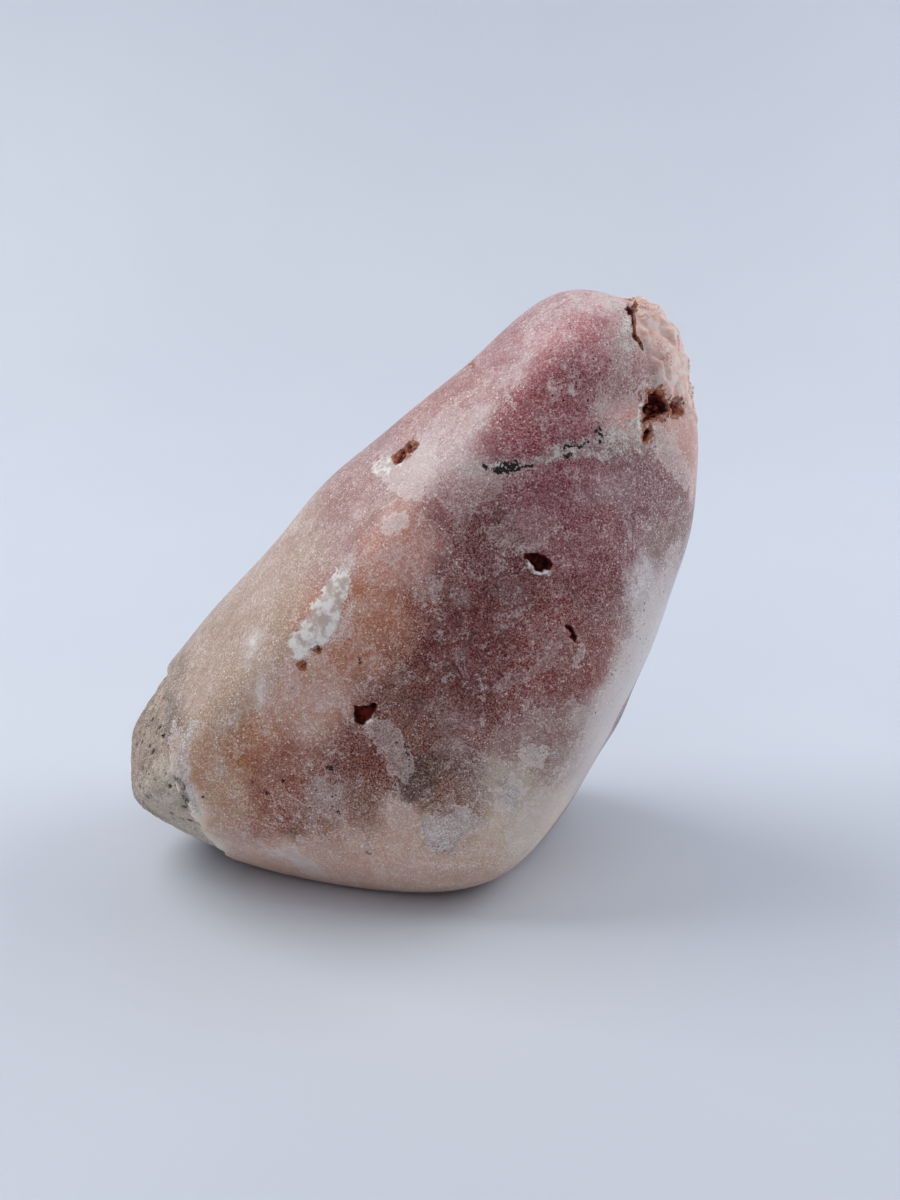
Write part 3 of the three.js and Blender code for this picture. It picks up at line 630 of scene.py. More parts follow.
veils = {    # thin pale sheets with ragged edges, and one painted reflection on the right flank: strength, outline on the front
    "slopeSheet": (0.72, [(-8.5, 104.5), (-5.5, 106.5), (-2, 108), (1, 111), (5, 113), (7, 112.5),
        (6.5, 110), (6.5, 106.5), (3, 103.5), (-0.5, 101.5), (-2.5, 102.5), (-4.5, 104),
        (-7, 104)]),
    "underVein": (0.22, [(7, 109.5), (10, 111), (14.5, 112), (19, 111), (24.5, 109), (28, 108),
        (27, 106), (22.5, 105.5), (19, 103), (15.5, 101), (10, 101), (7.5, 102.5), (5.5, 104.5)]),
    "slopeGrey": (0.35, [(4, 112.5), (6.5, 115.5), (8, 119.5), (11.5, 121), (13, 120),
        (10.5, 117), (7.5, 114), (6, 112.5)]),
    "lilac": (0.8, [(-6.5, 95), (-5.5, 97.5), (-2.5, 99), (-0.5, 99), (-1, 96.5), (-3.5, 94.5),
        (-5.5, 94.5)]),
    "lilacLow": (0.35, [(-7.5, 90), (-4, 92.5), (-0.5, 94), (-0.5, 90.5), (-3, 89), (-6, 89.5)]),
    "abovePit": (0.16, [(17.5, 97), (21, 99.5), (26, 101.5), (31.5, 100), (33.5, 96.5),
        (31.5, 93), (28, 92), (23.5, 91.5), (20, 93.5)]),
    "lens": (0.3, [(-0.5, 86), (3, 85), (8, 86), (7.5, 83), (6, 80), (3, 81), (1, 83)]),
    "ashes": (0.07, [(19.5, 84), (22.5, 85.5), (26, 85), (28, 83), (26.5, 80), (22.5, 80)]),
    "lilacStreak": (0.2, [(17, 60), (21.5, 62), (27, 65.5), (31.5, 69.5), (36.5, 73), (37, 71),
        (33.5, 67.5), (28.5, 62.5), (23.5, 60.5)]),
    "tongue": (0.42, [(-9.5, 51), (-6.5, 53), (-4, 52), (-1, 49), (1, 45), (1.5, 41), (0, 35.5),
        (-1.5, 37.5), (-5, 39.5), (-5.5, 45), (-8, 48)]),
    "tongueLow": (0.2, [(-1, 33.5), (0.5, 31.5), (1.5, 26.5), (-0.5, 23.5), (-3.5, 24.5),
        (-5.5, 27), (-4, 31)]),
    "pool": (0.55, [(3.5, 24.5), (7.5, 28), (10, 31.5), (14.5, 31), (17.5, 28), (16.5, 24.5),
        (11, 22.5), (7, 19.5), (4, 20)]),
    "poolHaze": (0.18, [(3, 25), (4, 30), (7.5, 33), (12.5, 34.5), (10, 30), (7.5, 27)]),
    "rightUpper": (0.22, [(28, 58), (30, 56), (32, 53), (31, 48), (28.5, 49), (26.5, 51.5),
        (26, 55)]),
    "lowRight": (0.85, [(26, 45.5), (27.5, 47), (31, 47.5), (32, 45.5), (31, 43), (29, 42.5),
        (27, 44)]),
    "greenGlow": (0.6, [(26.5, 23), (24, 20), (24.5, 24), (26.5, 28.5), (30, 33.5), (33, 36),
        (36, 32), (33, 26), (30, 23)]),
    "lowerCrust": (0.85, [(20.5, 36), (23, 38), (25, 39.5), (26.5, 37.5), (27, 33.5),
        (23.5, 30.5), (21, 32)]),
    "creamTail": (0.35, [(-16, 80), (-14.5, 77.5), (-12.5, 73), (-15.5, 71), (-18, 71),
        (-16.5, 75.5)]),
    "creamFoot": (0.3, [(-27, 66.5), (-24, 66), (-25, 60), (-27.5, 56), (-30, 57.5), (-28, 61)]),
    "midLeft": (0.3, [(-24, 58.5), (-20.5, 60.5), (-17.5, 60), (-14, 57.5), (-14.5, 54),
        (-18, 55.5), (-21.5, 55.5)]),
    "lowLeft": (0.24, [(-25.5, 34), (-21.5, 37), (-18, 36.5), (-15.5, 34), (-14.5, 30.5),
        (-17.5, 27), (-20.5, 28.5), (-24, 31.5)]),
    "leftDash": (0.3, [(-45.5, 41.5), (-44, 42.5), (-43, 38.5), (-44.5, 36.5), (-45.5, 38.5)]),
    "ochreTop": (0.35, [(-43.5, 50.5), (-41, 52), (-39, 52.5), (-40, 50), (-42.5, 49.5)]),
    "bottomWhite": (0.7, [(-32.5, 15.5), (-28.5, 17), (-25, 14.5), (-22.5, 9), (-25.5, 6.5),
        (-29, 10)]),
    "bottomDash": (0.5, [(-28.5, 21), (-26, 22), (-24.5, 21), (-26.5, 19.5)]),
    "bottomHaze": (0.25, [(-49.5, 19.5), (-44, 23.5), (-40.5, 21.5), (-35.5, 18.5), (-32, 17.5),
        (-37.5, 15), (-42.5, 15), (-47.5, 14.5)]),
    "ridgeLilac": (0.35, [(16, 120), (18, 122.5), (21.5, 122), (20.5, 120), (18, 118.5)]),
    "endSheet": (0.5, [(-57, 45), (-53, 43.5), (-52, 38), (-51.5, 32), (-53.5, 29), (-56.5, 33),
        (-58, 39)]),
    "narrowPitSide": (0.5, [(39.5, 72), (41, 69.5), (40.5, 66), (38.5, 66), (39, 69.5)]),
    "vugSkirt": (0.6, [(56.5, 116.5), (60, 115), (62.5, 111.5), (65, 107.5), (67.5, 103.5),
        (68.5, 98), (66.5, 99), (64.5, 103), (61.5, 105.5), (59, 109), (57.5, 112.5)]),
    "vugCollar": (0.6, [(54.5, 124.5), (56.5, 126.5), (58.5, 127.5), (60, 125.5), (58, 124),
        (56, 122), (55, 119.5), (54, 118), (53.5, 121.5)]),
    "vugSide": (0.45, [(52, 124.5), (54.5, 123), (54, 119), (55.5, 116.5), (57, 113), (54, 114),
        (52.5, 118), (51.5, 122)]),
    "shoulderStrip": (0.35, [(47.5, 142), (50, 140.5), (51, 133.5), (52.5, 127), (51.5, 121.5),
        (48.5, 118.5), (44.5, 118), (42, 120.5), (45.5, 125.5), (47, 130), (46, 136.5)]),
    "besideVein": (0.3, [(44.5, 118), (49.5, 119), (53, 121.5), (54.5, 116.5), (51.5, 114.5),
        (47, 114.5)]),
    "slopeSide": (0.25, [(-2, 112), (1, 115), (4, 116.5), (5.5, 116), (2.5, 113.5),
        (-0.5, 111.5)]),
    # a painted reflection: the whitish sheen of the bright surroundings on the polished flank
    "flankPaintedSheen": (0.45, [(63, 87.5), (61, 81), (57.5, 75), (53.5, 68), (49.5, 62.5), (45, 56),
        (41, 48.5), (37, 42), (34, 36), (40.5, 28), (48.5, 28.5), (53, 42), (57, 55), (60, 68),
        (63.5, 77), (66.5, 86)]),
    "besideVug": (0.3, [(44.5, 128), (47, 129.5), (49, 125.5), (48.5, 122.5), (46, 121.5),
        (44, 125)]),
    "chipSpot": (0.7, [(37.5, 126.5), (38.5, 127), (39, 125.5), (38.5, 124.5), (37.5, 125.5)]),
    "cornerFleck": (0.5, [(23, 123), (24, 123.5), (24.5, 122.5), (23, 122)]),
    "summitRim": (0.45, [(36, 143), (40, 145.5), (46, 146), (50, 144.5), (50.5, 142.5),
        (47, 143), (42, 144), (38.5, 143.5)]),
    "slopeTop": (0.4, [(26.5, 136.5), (29.5, 139), (33.5, 142), (36, 143), (33, 140), (29.5, 137),
        (27.5, 135)]),
}
cloudsAndHighlights = {    # soft white clouds, partly frosty quartz and partly painted highlights: middle, half sizes, turn, strength
    # these two are painted glints
    "upper left": ((-36.9, 65.8), (1.6, 3.2), -25, 1.1),
    "lower left": ((-33.9, 57.3), (1.7, 3.6), 0, 1.0),
    "bottom white": ((-28, 12.2), (6, 1.8), -36, 1.1),
    # a painted reflection of the bright surroundings on the flank
    "flank": ((53.7, 81), (3, 6.5), -12, 0.8),
    "slope": ((-14.2, 87.1), (1.4, 2.4), -30, 0.6),
    "centre": ((12.3, 69), (1.3, 1.3), 0, 0.25),
    "upper centre": ((13.2, 80.6), (1.8, 1.4), 0, 0.28),
    "low middle": ((11.2, 47), (2.6, 2.8), 0, 0.3),
    "low left": ((-19, 33.1), (3.2, 2.8), 0, 0.36),
    # these three are painted glare along the ridge
    "ridge": ((26, 131), (10, 1.6), 45, 0.45),
    "upper slope": ((14, 118), (7, 2), 48, 0.3),
    "middle slope": ((2, 108), (6, 2), 45, 0.3),
    "olive speckle": ((22.8, 83.3), (4, 3.4), 0, 0.04),
    "grey below core": ((11, 52), (6, 4), 0, 0.12),
    "right haze": ((45, 103), (5, 3), 0, 0.3),
    "shoulder": ((47.5, 121), (4, 3), 0, 0.35),
    "crown": ((44, 143), (8, 1.6), 0, 0.6),
}
vugRust = [(54, 124), (58, 124.5), (61.5, 122.5), (65, 120.5), (66, 117), (62.5, 116.5),
           (58, 117), (57.5, 114.5), (55.5, 112.5), (54.5, 114), (55, 118), (54, 121.5)]
blackMarks = {    # black mineral threads and blots on the front
    "blotLeft": dict(line=[(20.6, 109.4), (22.2, 109.9), (25.2, 110)],
                     halfWidths=[0.75, 0.95, 0.7]),
    "blotTop": dict(line=[(21.2, 111.1), (23.6, 110.8)], halfWidths=[0.35, 0.4]),
    "crumb": dict(line=[(17.6, 110.6), (18, 110)], halfWidths=[0.3, 0.35]),
    "thread": dict(line=[(24.4, 111.7), (26.3, 110.3), (28.8, 110.3)],
                   halfWidths=[0.22, 0.2, 0.1]),
    "dashLeft": dict(line=[(36.2, 113.8), (38.2, 114.6), (39, 114.2)],
                     halfWidths=[0.22, 0.28, 0.18]),
    "dashRight": dict(line=[(39.4, 113.6), (41.4, 114.6)], halfWidths=[0.2, 0.26]),
    "dashLow": dict(line=[(36.4, 111.9), (37.6, 112.5)], halfWidths=[0.3, 0.2]),
    "hook": dict(line=[(43, 116.6), (44.2, 117.2), (44.8, 115.6), (44.4, 114.4)],
                 halfWidths=[0.2, 0.3, 0.22, 0.2]),
    "crackTop": dict(line=[(51.6, 141.8), (52.6, 141.4)], halfWidths=[0.45, 0.4]),
    "crackMiddle": dict(line=[(52.9, 136.6), (53.6, 135.4)], halfWidths=[0.2, 0.22]),
    "crackFoot": dict(line=[(54.2, 134.6), (54.9, 133.4)], halfWidths=[0.22, 0.18]),
    "largeDot": dict(line=[(-18.2, 40), (-17.6, 39.7)], halfWidths=[0.55, 0.5]),
    "tick": dict(line=[(-10.8, 66.9), (-10.6, 66.1)], halfWidths=[0.24, 0.2]),
    "dotA": dict(line=[(-29.4, 36.6), (-29.3, 36)], halfWidths=[0.26, 0.26]),
    "dotB": dict(line=[(-33.4, 32.8), (-33.2, 32.8)], halfWidths=[0.26, 0.26]),
    "dotC": dict(line=[(-16.5, 28.8), (-16.3, 28.7)], halfWidths=[0.3, 0.24]),
    "dotD": dict(line=[(-49.2, 30.4), (-49, 30.4)], halfWidths=[0.26, 0.26]),
    "dotE": dict(line=[(-0.3, 46.2), (-0.1, 45.6)], halfWidths=[0.42, 0.32]),
    "dotF": dict(line=[(0, 44.4), (0.2, 43.8)], halfWidths=[0.26, 0.3]),
    "dotG": dict(line=[(20.6, 97.6), (21.1, 98.3)], halfWidths=[0.24, 0.26]),
}
speckAreas = {    # black grains: middle, half sizes, turn, density
    "under summit": ((42, 131), (6, 7), 0, 0.8),
    "left of the chip": ((32, 126.5), (2.8, 2.4), 0, 0.9),
    "above the vein": ((41, 120), (6, 4), 0, 0.6),
    "vein left": ((22, 110), (3, 1.2), 0, 1.0),
    "vein right": ((43, 114), (3.6, 2.4), 0, 0.8),
    "tongue edge": ((0.2, 45.5), (1.6, 4), 0, 1.0),
    "tongue": ((-2.5, 47), (3, 3), 0, 0.4),
    "pale pool": ((6, 21.5), (3.6, 2.2), 40, 0.9),
    "pale pool right": ((11.5, 22.5), (2.4, 2), 0, 0.7),
    "low left glow": ((-19, 33.5), (2, 2.4), 0, 0.8),
    "low left": ((-28, 34), (8, 6), 0, 0.1),
    "end": ((-62, 38), (6, 8), 0, 0.3),
    "flank": ((54, 66), (6, 14), -30, 0.25),
}
oliveSpots = {    # soft brown-green mineral
    "upper": ((2.2, 37.8), (1.1, 1), 0, 1.0),
    "lower": ((0, 32.4), (1.8, 1.1), 0, 1.0),
    "channel": ((4.5, 40), (1.6, 4.5), 15, 0.45),
    "bottom pit": ((-10, 18.2), (1, 0.8), 0, 1.0),
    "chip": ((34.6, 129.4), (1.2, 0.6), 50, 0.6),
    "cream grains": ((-24.4, 65), (1.5, 1.1), 0, 0.6),
    "cream grains left": ((-27, 59.6), (1.3, 1), 0, 0.5),
    "small spot": ((-36.5, 35.7), (0.7, 0.6), 0, 0.7),
    "end groove": ((-54.5, 30), (1.1, 6), 12, 0.9),
    "upper end groove": ((-58, 40), (0.9, 5), 14, 0.6),
}


def blobShare(places, blobs):    # soft ovals: 1 at the middle of a full-strength one
    share = np.zeros(len(places))
    for (x, z), (wide, tall), turn, strength in blobs.values():
        c, s = math.cos(math.radians(turn)), math.sin(math.radians(turn))
        a, b = places[:, 0] - x, places[:, 1] - z
        reach = ((a * c + b * s) / wide) ** 2 + ((b * c - a * s) / tall) ** 2
        share = np.maximum(share, strength * np.exp(-0.9 * reach))
    return share


def outlineField(places, outlines, behind):
    field = np.full(len(places), farOutside)
    for outline in outlines.values():
        field = np.maximum(field, distanceToOutline(places, outline))
    return field - behind


def bandField(places, bands, behind):
    field = np.full(len(places), farOutside)
    for band in bands.values():
        gap, halfWidth = distanceToLine(places, band["line"], band["halfWidths"])
        field = np.maximum(field, halfWidth - gap)
    return field - behind


maskShape = {
    "closing": (2, 1.5),    # from this y, this much a millimetre, so no front mark wraps round
    "fade": (16, 8),
    "waver": {"size": 3, "height": 1.3, "seeds": (81, 82), "layers": 2},
    "fieldReach": 6,
    "vugStain": 0.62,
    "deepHollow": 3,
    "deepPore": 0.8,
    "endRise": 1.2,
}


def finishMasks(mesh, points, made):
    setTint(mesh, "tint", tintColours(points))
    places = points[:, [0, 2]].copy()
    start, rate = maskShape["closing"]
    behind = np.maximum(points[:, 1] - start, 0) * rate
    fade = smoothBetween(*maskShape["fade"], points[:, 1])
    soft = places + waver(points, **maskShape["waver"])
    fields = {    # in millimetres inside the edge
        "cream": np.maximum(outlineField(places, creamPatches, behind),
                            bandField(places, creamBands, behind)),
        "grey": np.maximum(outlineField(places, greyPatches, behind),
                           bandField(places, greyBands, behind)),
        "threads": bandField(places, paleThreads, behind),
        "black": bandField(places, blackMarks, behind),
    }
    veil, veilShare = np.full(len(points), farOutside), np.zeros(len(points))
    for share, outline in veils.values():
        field = distanceToOutline(soft, outline) - behind
        veilShare = np.where(field > veil, share, veilShare)
        veil = np.maximum(veil, field)
    fields["veil"] = veil
    setAttribute(mesh, "veilShare", veilShare)
    for name, field in fields.items():
        setAttribute(mesh, name, np.clip(field / maskShape["fieldReach"] + 0.5, 0, 1))
    # the first share holds the soft white clouds: frosty quartz in part, painted highlights in
    # part
    shares = {"frostAndHighlights": cloudsAndHighlights, "specks": speckAreas, "olive": oliveSpots}
    for name, blobs in shares.items():
        setAttribute(mesh, name, blobShare(soft, blobs) * fade)
    around = distanceToOutline(soft, vugRust) - behind
    rust = maskShape["vugStain"] * smoothBetween(-0.4, 0.5, around)
    for name, inside in made["insides"].items():
        reach = crack["rust"] if name == "crack" else hollows[name]["rust"]
        rust = np.maximum(rust, smoothBetween(-reach, 0.2, inside))
    setAttribute(mesh, "rust", rust)
    setAttribute(mesh, "hollow", np.clip(made["depths"] / maskShape["deepHollow"], 0, 1))
    setAttribute(mesh, "pores", np.clip(made["pores"] / maskShape["deepPore"], 0, 1))
    setAttribute(mesh, "crust", made["cover"])
    setAttribute(mesh, "end", smoothBetween(0, maskShape["endRise"], made["past"]))


def makeStone():
    bm, points = smoothStoneMesh()
    relief, made = reliefOf(points)
    shaped = points + surfaceNormals(points) * relief[:, None]
    shaped[:, 2] = np.maximum(shaped[:, 2], 0)
    mesh = bpy.data.meshes.new("amethystStone")
    bm.to_mesh(mesh)
    bm.free()
    mesh.vertices.foreach_set("co", (shaped * millimetre).astype(np.float32).ravel())
    finishMasks(mesh, points, made)
    mesh.polygons.foreach_set("use_smooth", [True] * len(mesh.polygons))
    mesh.update()
    stone = bpy.data.objects.new("amethystStone", mesh)
    bpy.context.collection.objects.link(stone)
    report(f"stone mesh has {len(mesh.polygons)} faces")
    return stone, points, made


def addNode(tree, kind, **settings):
    node = tree.nodes.new(kind)
    for name, value in settings.items():
        setattr(node, name, value)
    return node


def plug(tree, source, target):    # joins a socket, or sets a plain value
    if isinstance(source, bpy.types.NodeSocket):
        tree.links.new(source, target)
    else:
        target.default_value = source


def fill(tree, node, values):    # plugs each value into the input of that name or number
    for key, value in values.items():
        plug(tree, value, node.inputs[key])
    return node


def mathNode(tree, operation, first, second, clamp=False):
    node = addNode(tree, "ShaderNodeMath", operation=operation, use_clamp=clamp)
    return fill(tree, node, {0: first, 1: second}).outputs[0]


def addAll(tree, first, *others):
    for other in others:
        first = mathNode(tree, "ADD", first, other)
    return first


def times(tree, first, *others):
    for other in others:
        first = mathNode(tree, "MULTIPLY", first, other)
    return first


def minus(tree, first, second):
    return mathNode(tree, "SUBTRACT", first, second)


def centred(tree, value, contrast):    # a noise value turned into a swing round nothing
    return times(tree, minus(tree, value, 0.5), contrast)


def ramp(tree, value, low, high, bottom=0.0, top=1.0):    # smooth step from low to high
    node = addNode(tree, "ShaderNodeMapRange", interpolation_type="SMOOTHSTEP")
    return fill(tree, node, {"Value": value, "From Min": low, "From Max": high,
                             "To Min": bottom, "To Max": top}).outputs["Result"]


def mixColour(tree, share, first, second):
    node = addNode(tree, "ShaderNodeMix", data_type="RGBA", blend_type="MIX", clamp_factor=True)
    return fill(tree, node, {0: share, 6: first, 7: second}).outputs[2]


def attributeOf(tree, name):
    return addNode(tree, "ShaderNodeAttribute", attribute_name=name, attribute_type="GEOMETRY")


def noiseOf(tree, vector, scale, detail, roughness, distortion=0.0):
    node = addNode(tree, "ShaderNodeTexNoise")
    return fill(tree, node, {"Vector": vector, "Scale": scale, "Detail": detail,
                             "Roughness": roughness, "Distortion": distortion})


def bumpOf(tree, height, strength, distance):
    node = addNode(tree, "ShaderNodeBump")
    return fill(tree, node, {"Height": height, "Strength": strength,
                             "Distance": distance}).outputs[0]


def startGroup(name, numbers, outputs):    # takes a place, then numbers with their first values
    group = bpy.data.node_groups.new(name, "ShaderNodeTree")
    face = group.interface
    face.new_socket("Vector", in_out="INPUT", socket_type="NodeSocketVector")
    for title, value in numbers.items():
        socket = face.new_socket(title, in_out="INPUT", socket_type="NodeSocketFloat")
        socket.default_value = value
    for title in outputs:
        face.new_socket(title, in_out="OUTPUT", socket_type="NodeSocketFloat")
    given = addNode(group, "NodeGroupInput").outputs
    return group, given, addNode(group, "NodeGroupOutput").inputs


def useGroup(tree, group, **values):
    node = addNode(tree, "ShaderNodeGroup", node_tree=group, label=group.name)
    return fill(tree, node, values).outputs


def sugarGrainGroup():    # the sugary grain of the quartz: curly mottling, and bright crumbs
    group, given, out = startGroup("sugarGrain", {"Scale": 1000.0, "Amount": 0.5},
                                   ["Tone", "Fleck", "Height"])
    place, scale = given["Vector"], given["Scale"]
    mottle = noiseOf(group, place, times(group, scale, 1.15), 2, 0.85, 0.9).outputs[0]
    crumbs = noiseOf(group, place, times(group, scale, 1.3), 2, 0.8, 1.0).outputs[0]
    crowds = noiseOf(group, place, times(group, scale, 0.3), 4, 0.7, 0.6).outputs[0]
    level = minus(group, 0.6, times(group, given["Amount"], 0.25))
    crowded = ramp(group, crowds, level, addAll(group, level, 0.16))
    high = minus(group, 0.63, times(group, crowded, 0.16))
    plug(group, mottle, out["Tone"])
    plug(group, ramp(group, crumbs, high, addAll(group, high, 0.14)), out["Fleck"])
    plug(group, addAll(group, mottle, crumbs), out["Height"])
    return group


def sheetRimGroup():    # ragged bright rims of thin sheets, crisp outside and fading inward
    group, given, out = startGroup("sheetRim", {"Scale": 110.0, "Level": 0.5, "Width": 0.05},
                                   ["Rim", "Sheet"])
    noise = noiseOf(group, given["Vector"], given["Scale"], 7, 0.58, 0.4).outputs[0]
    gone = addAll(group, given["Level"], 0.004)
    sheet = ramp(group, noise, given["Level"], gone)
    inner = ramp(group, noise, gone, addAll(group, given["Level"], given["Width"]))
    plug(group, times(group, sheet, minus(group, 1.0, inner)), out["Rim"])
    plug(group, sheet, out["Sheet"])
    return group


def raggedEdgeGroup():    # turns a soft field into a crisp patch with a ragged edge
    group, given, out = startGroup("raggedEdge", {
        "Field": 0.5, "Level": 0.5, "Ragged": 0.3, "Scale": 400.0, "Softness": 0.04}, ["Mask"])
    noise = noiseOf(group, given["Vector"], given["Scale"], 4, 0.65).outputs[0]
    field = addAll(group, given["Field"], centred(group, noise, given["Ragged"]))
    low = minus(group, given["Level"], given["Softness"])
    high = addAll(group, given["Level"], given["Softness"])
    plug(group, ramp(group, field, low, high), out["Mask"])
    return group


def scatteredGrainsGroup():    # crumbs scattered as cells: black mineral grains, and sparkles that are painted glints
    group, given, out = startGroup("scatteredGrains", {
        "Scale": 350.0, "Amount": 0.1, "Size": 0.25}, ["Mask"])
    bend = noiseOf(group, given["Vector"], times(group, given["Scale"], 2.0), 2, 0.6)
    offset = addNode(group, "ShaderNodeVectorMath", operation="SCALE")
    fill(group, offset, {0: bend.outputs["Color"], "Scale": 0.0012})
    moved = addNode(group, "ShaderNodeVectorMath", operation="ADD")
    fill(group, moved, {0: given["Vector"], 1: offset.outputs[0]})
    cells = addNode(group, "ShaderNodeTexVoronoi", feature="F1")
    fill(group, cells, {"Vector": moved.outputs[0], "Scale": given["Scale"]})
    chance = fill(group, addNode(group, "ShaderNodeSeparateColor"), {0: cells.outputs["Color"]})
    chosen = mathNode(group, "LESS_THAN", chance.outputs[0], given["Amount"])
    inner = times(group, given["Size"], 0.6)
    grain = minus(group, 1.0, ramp(group, cells.outputs["Distance"], inner, given["Size"]))
    plug(group, times(group, chosen, grain), out["Mask"])
    return group


sugarGrain = sugarGrainGroup()
sheetRim = sheetRimGroup()
raggedEdge = raggedEdgeGroup()
scatteredGrains = scatteredGrainsGroup()


def startMaterial(name):
    material = bpy.data.materials.new(name)
    material.use_nodes = True
    tree = material.node_tree
    tree.nodes.clear()
    shader = addNode(tree, "ShaderNodeBsdfPrincipled")
    output = addNode(tree, "ShaderNodeOutputMaterial")
    tree.links.new(shader.outputs[0], output.inputs["Surface"])
    place = addNode(tree, "ShaderNodeTexCoord").outputs["Object"]
    return material, tree, shader, place


quartzIor = 1.54
stoneFinish = {
    "grainScale": 2100.0,
    "darkMiddle": 0.19,
    "toneMiddle": 0.26,
    "darkContrast": 3.6,
    "paleContrast": 1.25,
    "cloudContrast": 1.0,
    "patchContrast": 0.8,
    "clotContrast": 1.0,
    "grainContrast": 5.6,
    "deepening": 1.9,
    "brightening": 0.76,
    "darkPaling": 0.1,
    "paling": 0.08,
    "fleckAmount": 0.28,
    # sparkles are painted glints: tiny highlights painted as near-white dots
    "sparkleScale": 1500.0,
    "sparkleAmount": 0.26,
    "sparkleSize": 0.36,
    "speckScale": 1100.0,
    "speckAmount": 0.85,
    "speckSize": 0.31,
    "rims": ((80.0, 0.52), (150.0, 0.56)),    # scale and level
    "rimWidth": 0.022,
    "rimStrength": 0.55,
    "fringeSoftness": 0.07,
    "fringeStrength": 5.0,
    "endShare": 0.7,
    "crustShare": 0.9,
    "stainEdge": (-0.050, -0.046),    # no iron stain left of here, in metres
    "polishRoughness": 0.34,
    "roughRoughness": 0.62,
    "polishBump": 0.14,
    "crustBump": 0.5,
    "bumpStrength": 0.6,
    "bumpDistance": 0.0006,
    "paleFleck": (0.92, 0.77, 0.72, 1),
    # colour of the pale sheets and of the painted sheen on the flank
    "veilAndSheenColour": (0.76, 0.64, 0.61, 1),
    "rimColour": (0.86, 0.75, 0.73, 1),
    # colour of the painted glints
    "sparkleColour": (0.97, 0.91, 0.88, 1),
    # colour of the white clouds and of the painted highlights
    "cloudAndHighlightColour": (0.92, 0.87, 0.87, 1),
    "mauveColour": (0.30, 0.17, 0.20, 1),
    "mauveShare": 0.13,
    "creamColour": (0.95, 0.92, 0.90, 1),
    "creamShadow": (0.60, 0.50, 0.45, 1),
    "greyColour": (0.34, 0.27, 0.25, 1),
    "greyWhite": (0.74, 0.68, 0.65, 1),
    "rustColour": (0.48, 0.16, 0.06, 1),
    "rustDark": (0.13, 0.022, 0.010, 1),
    "rustCrumb": (0.80, 0.46, 0.30, 1),
    "oliveColour": (0.08, 0.055, 0.025, 1),
    "deepRed": (0.03, 0.004, 0.004, 1),
    "hollowRed": (0.28, 0.03, 0.022, 1),
    "blackGrain": (0.010, 0.009, 0.009, 1),
    "crustColour": (1.0, 0.86, 0.79, 1),
    "crustPink": (0.98, 0.64, 0.56, 1),
    "endCream": (0.79, 0.66, 0.53, 1),
    "endPink": (0.58, 0.40, 0.33, 1),
    "endGrey": (0.30, 0.23, 0.18, 1),
    "poreColour": (0.075, 0.045, 0.028, 1),
}
stoneFields = ("cream", "grey", "threads", "black", "veil", "veilShare", "frostAndHighlights", "specks",
               "olive", "rust", "hollow", "pores", "crust", "end")
stoneNoises = {    # scale, detail, roughness, distortion
    "cloud": (110.0, 4, 0.55, 0.0),
    "clots": (430.0, 4, 0.62, 0.0),
    "patchy": (240.0, 3, 0.6, 0.0),
    "gritty": (170.0, 3, 0.6, 0.0),
    "hue": (190.0, 5, 0.65, 0.4),
    "crumbled": (1700.0, 2, 0.5, 0.0),
}
patchEdges = {    # how each patch's edge breaks up
    "cream": dict(Ragged=0.75, Scale=600.0, Softness=0.03),
    "grey": dict(Ragged=1.1, Scale=650.0, Softness=0.08),
    "threads": dict(Ragged=1.1, Scale=900.0, Softness=0.12),
    "veil": dict(Ragged=0.8, Scale=620.0, Softness=0.025),
    "olive": dict(Level=0.45, Ragged=1.1, Scale=1000.0, Softness=0.12),
    "rust": dict(Level=0.58, Ragged=1.4, Scale=700.0, Softness=0.08),
    "black": dict(Level=0.48, Ragged=0.45, Scale=1300.0, Softness=0.012),
}


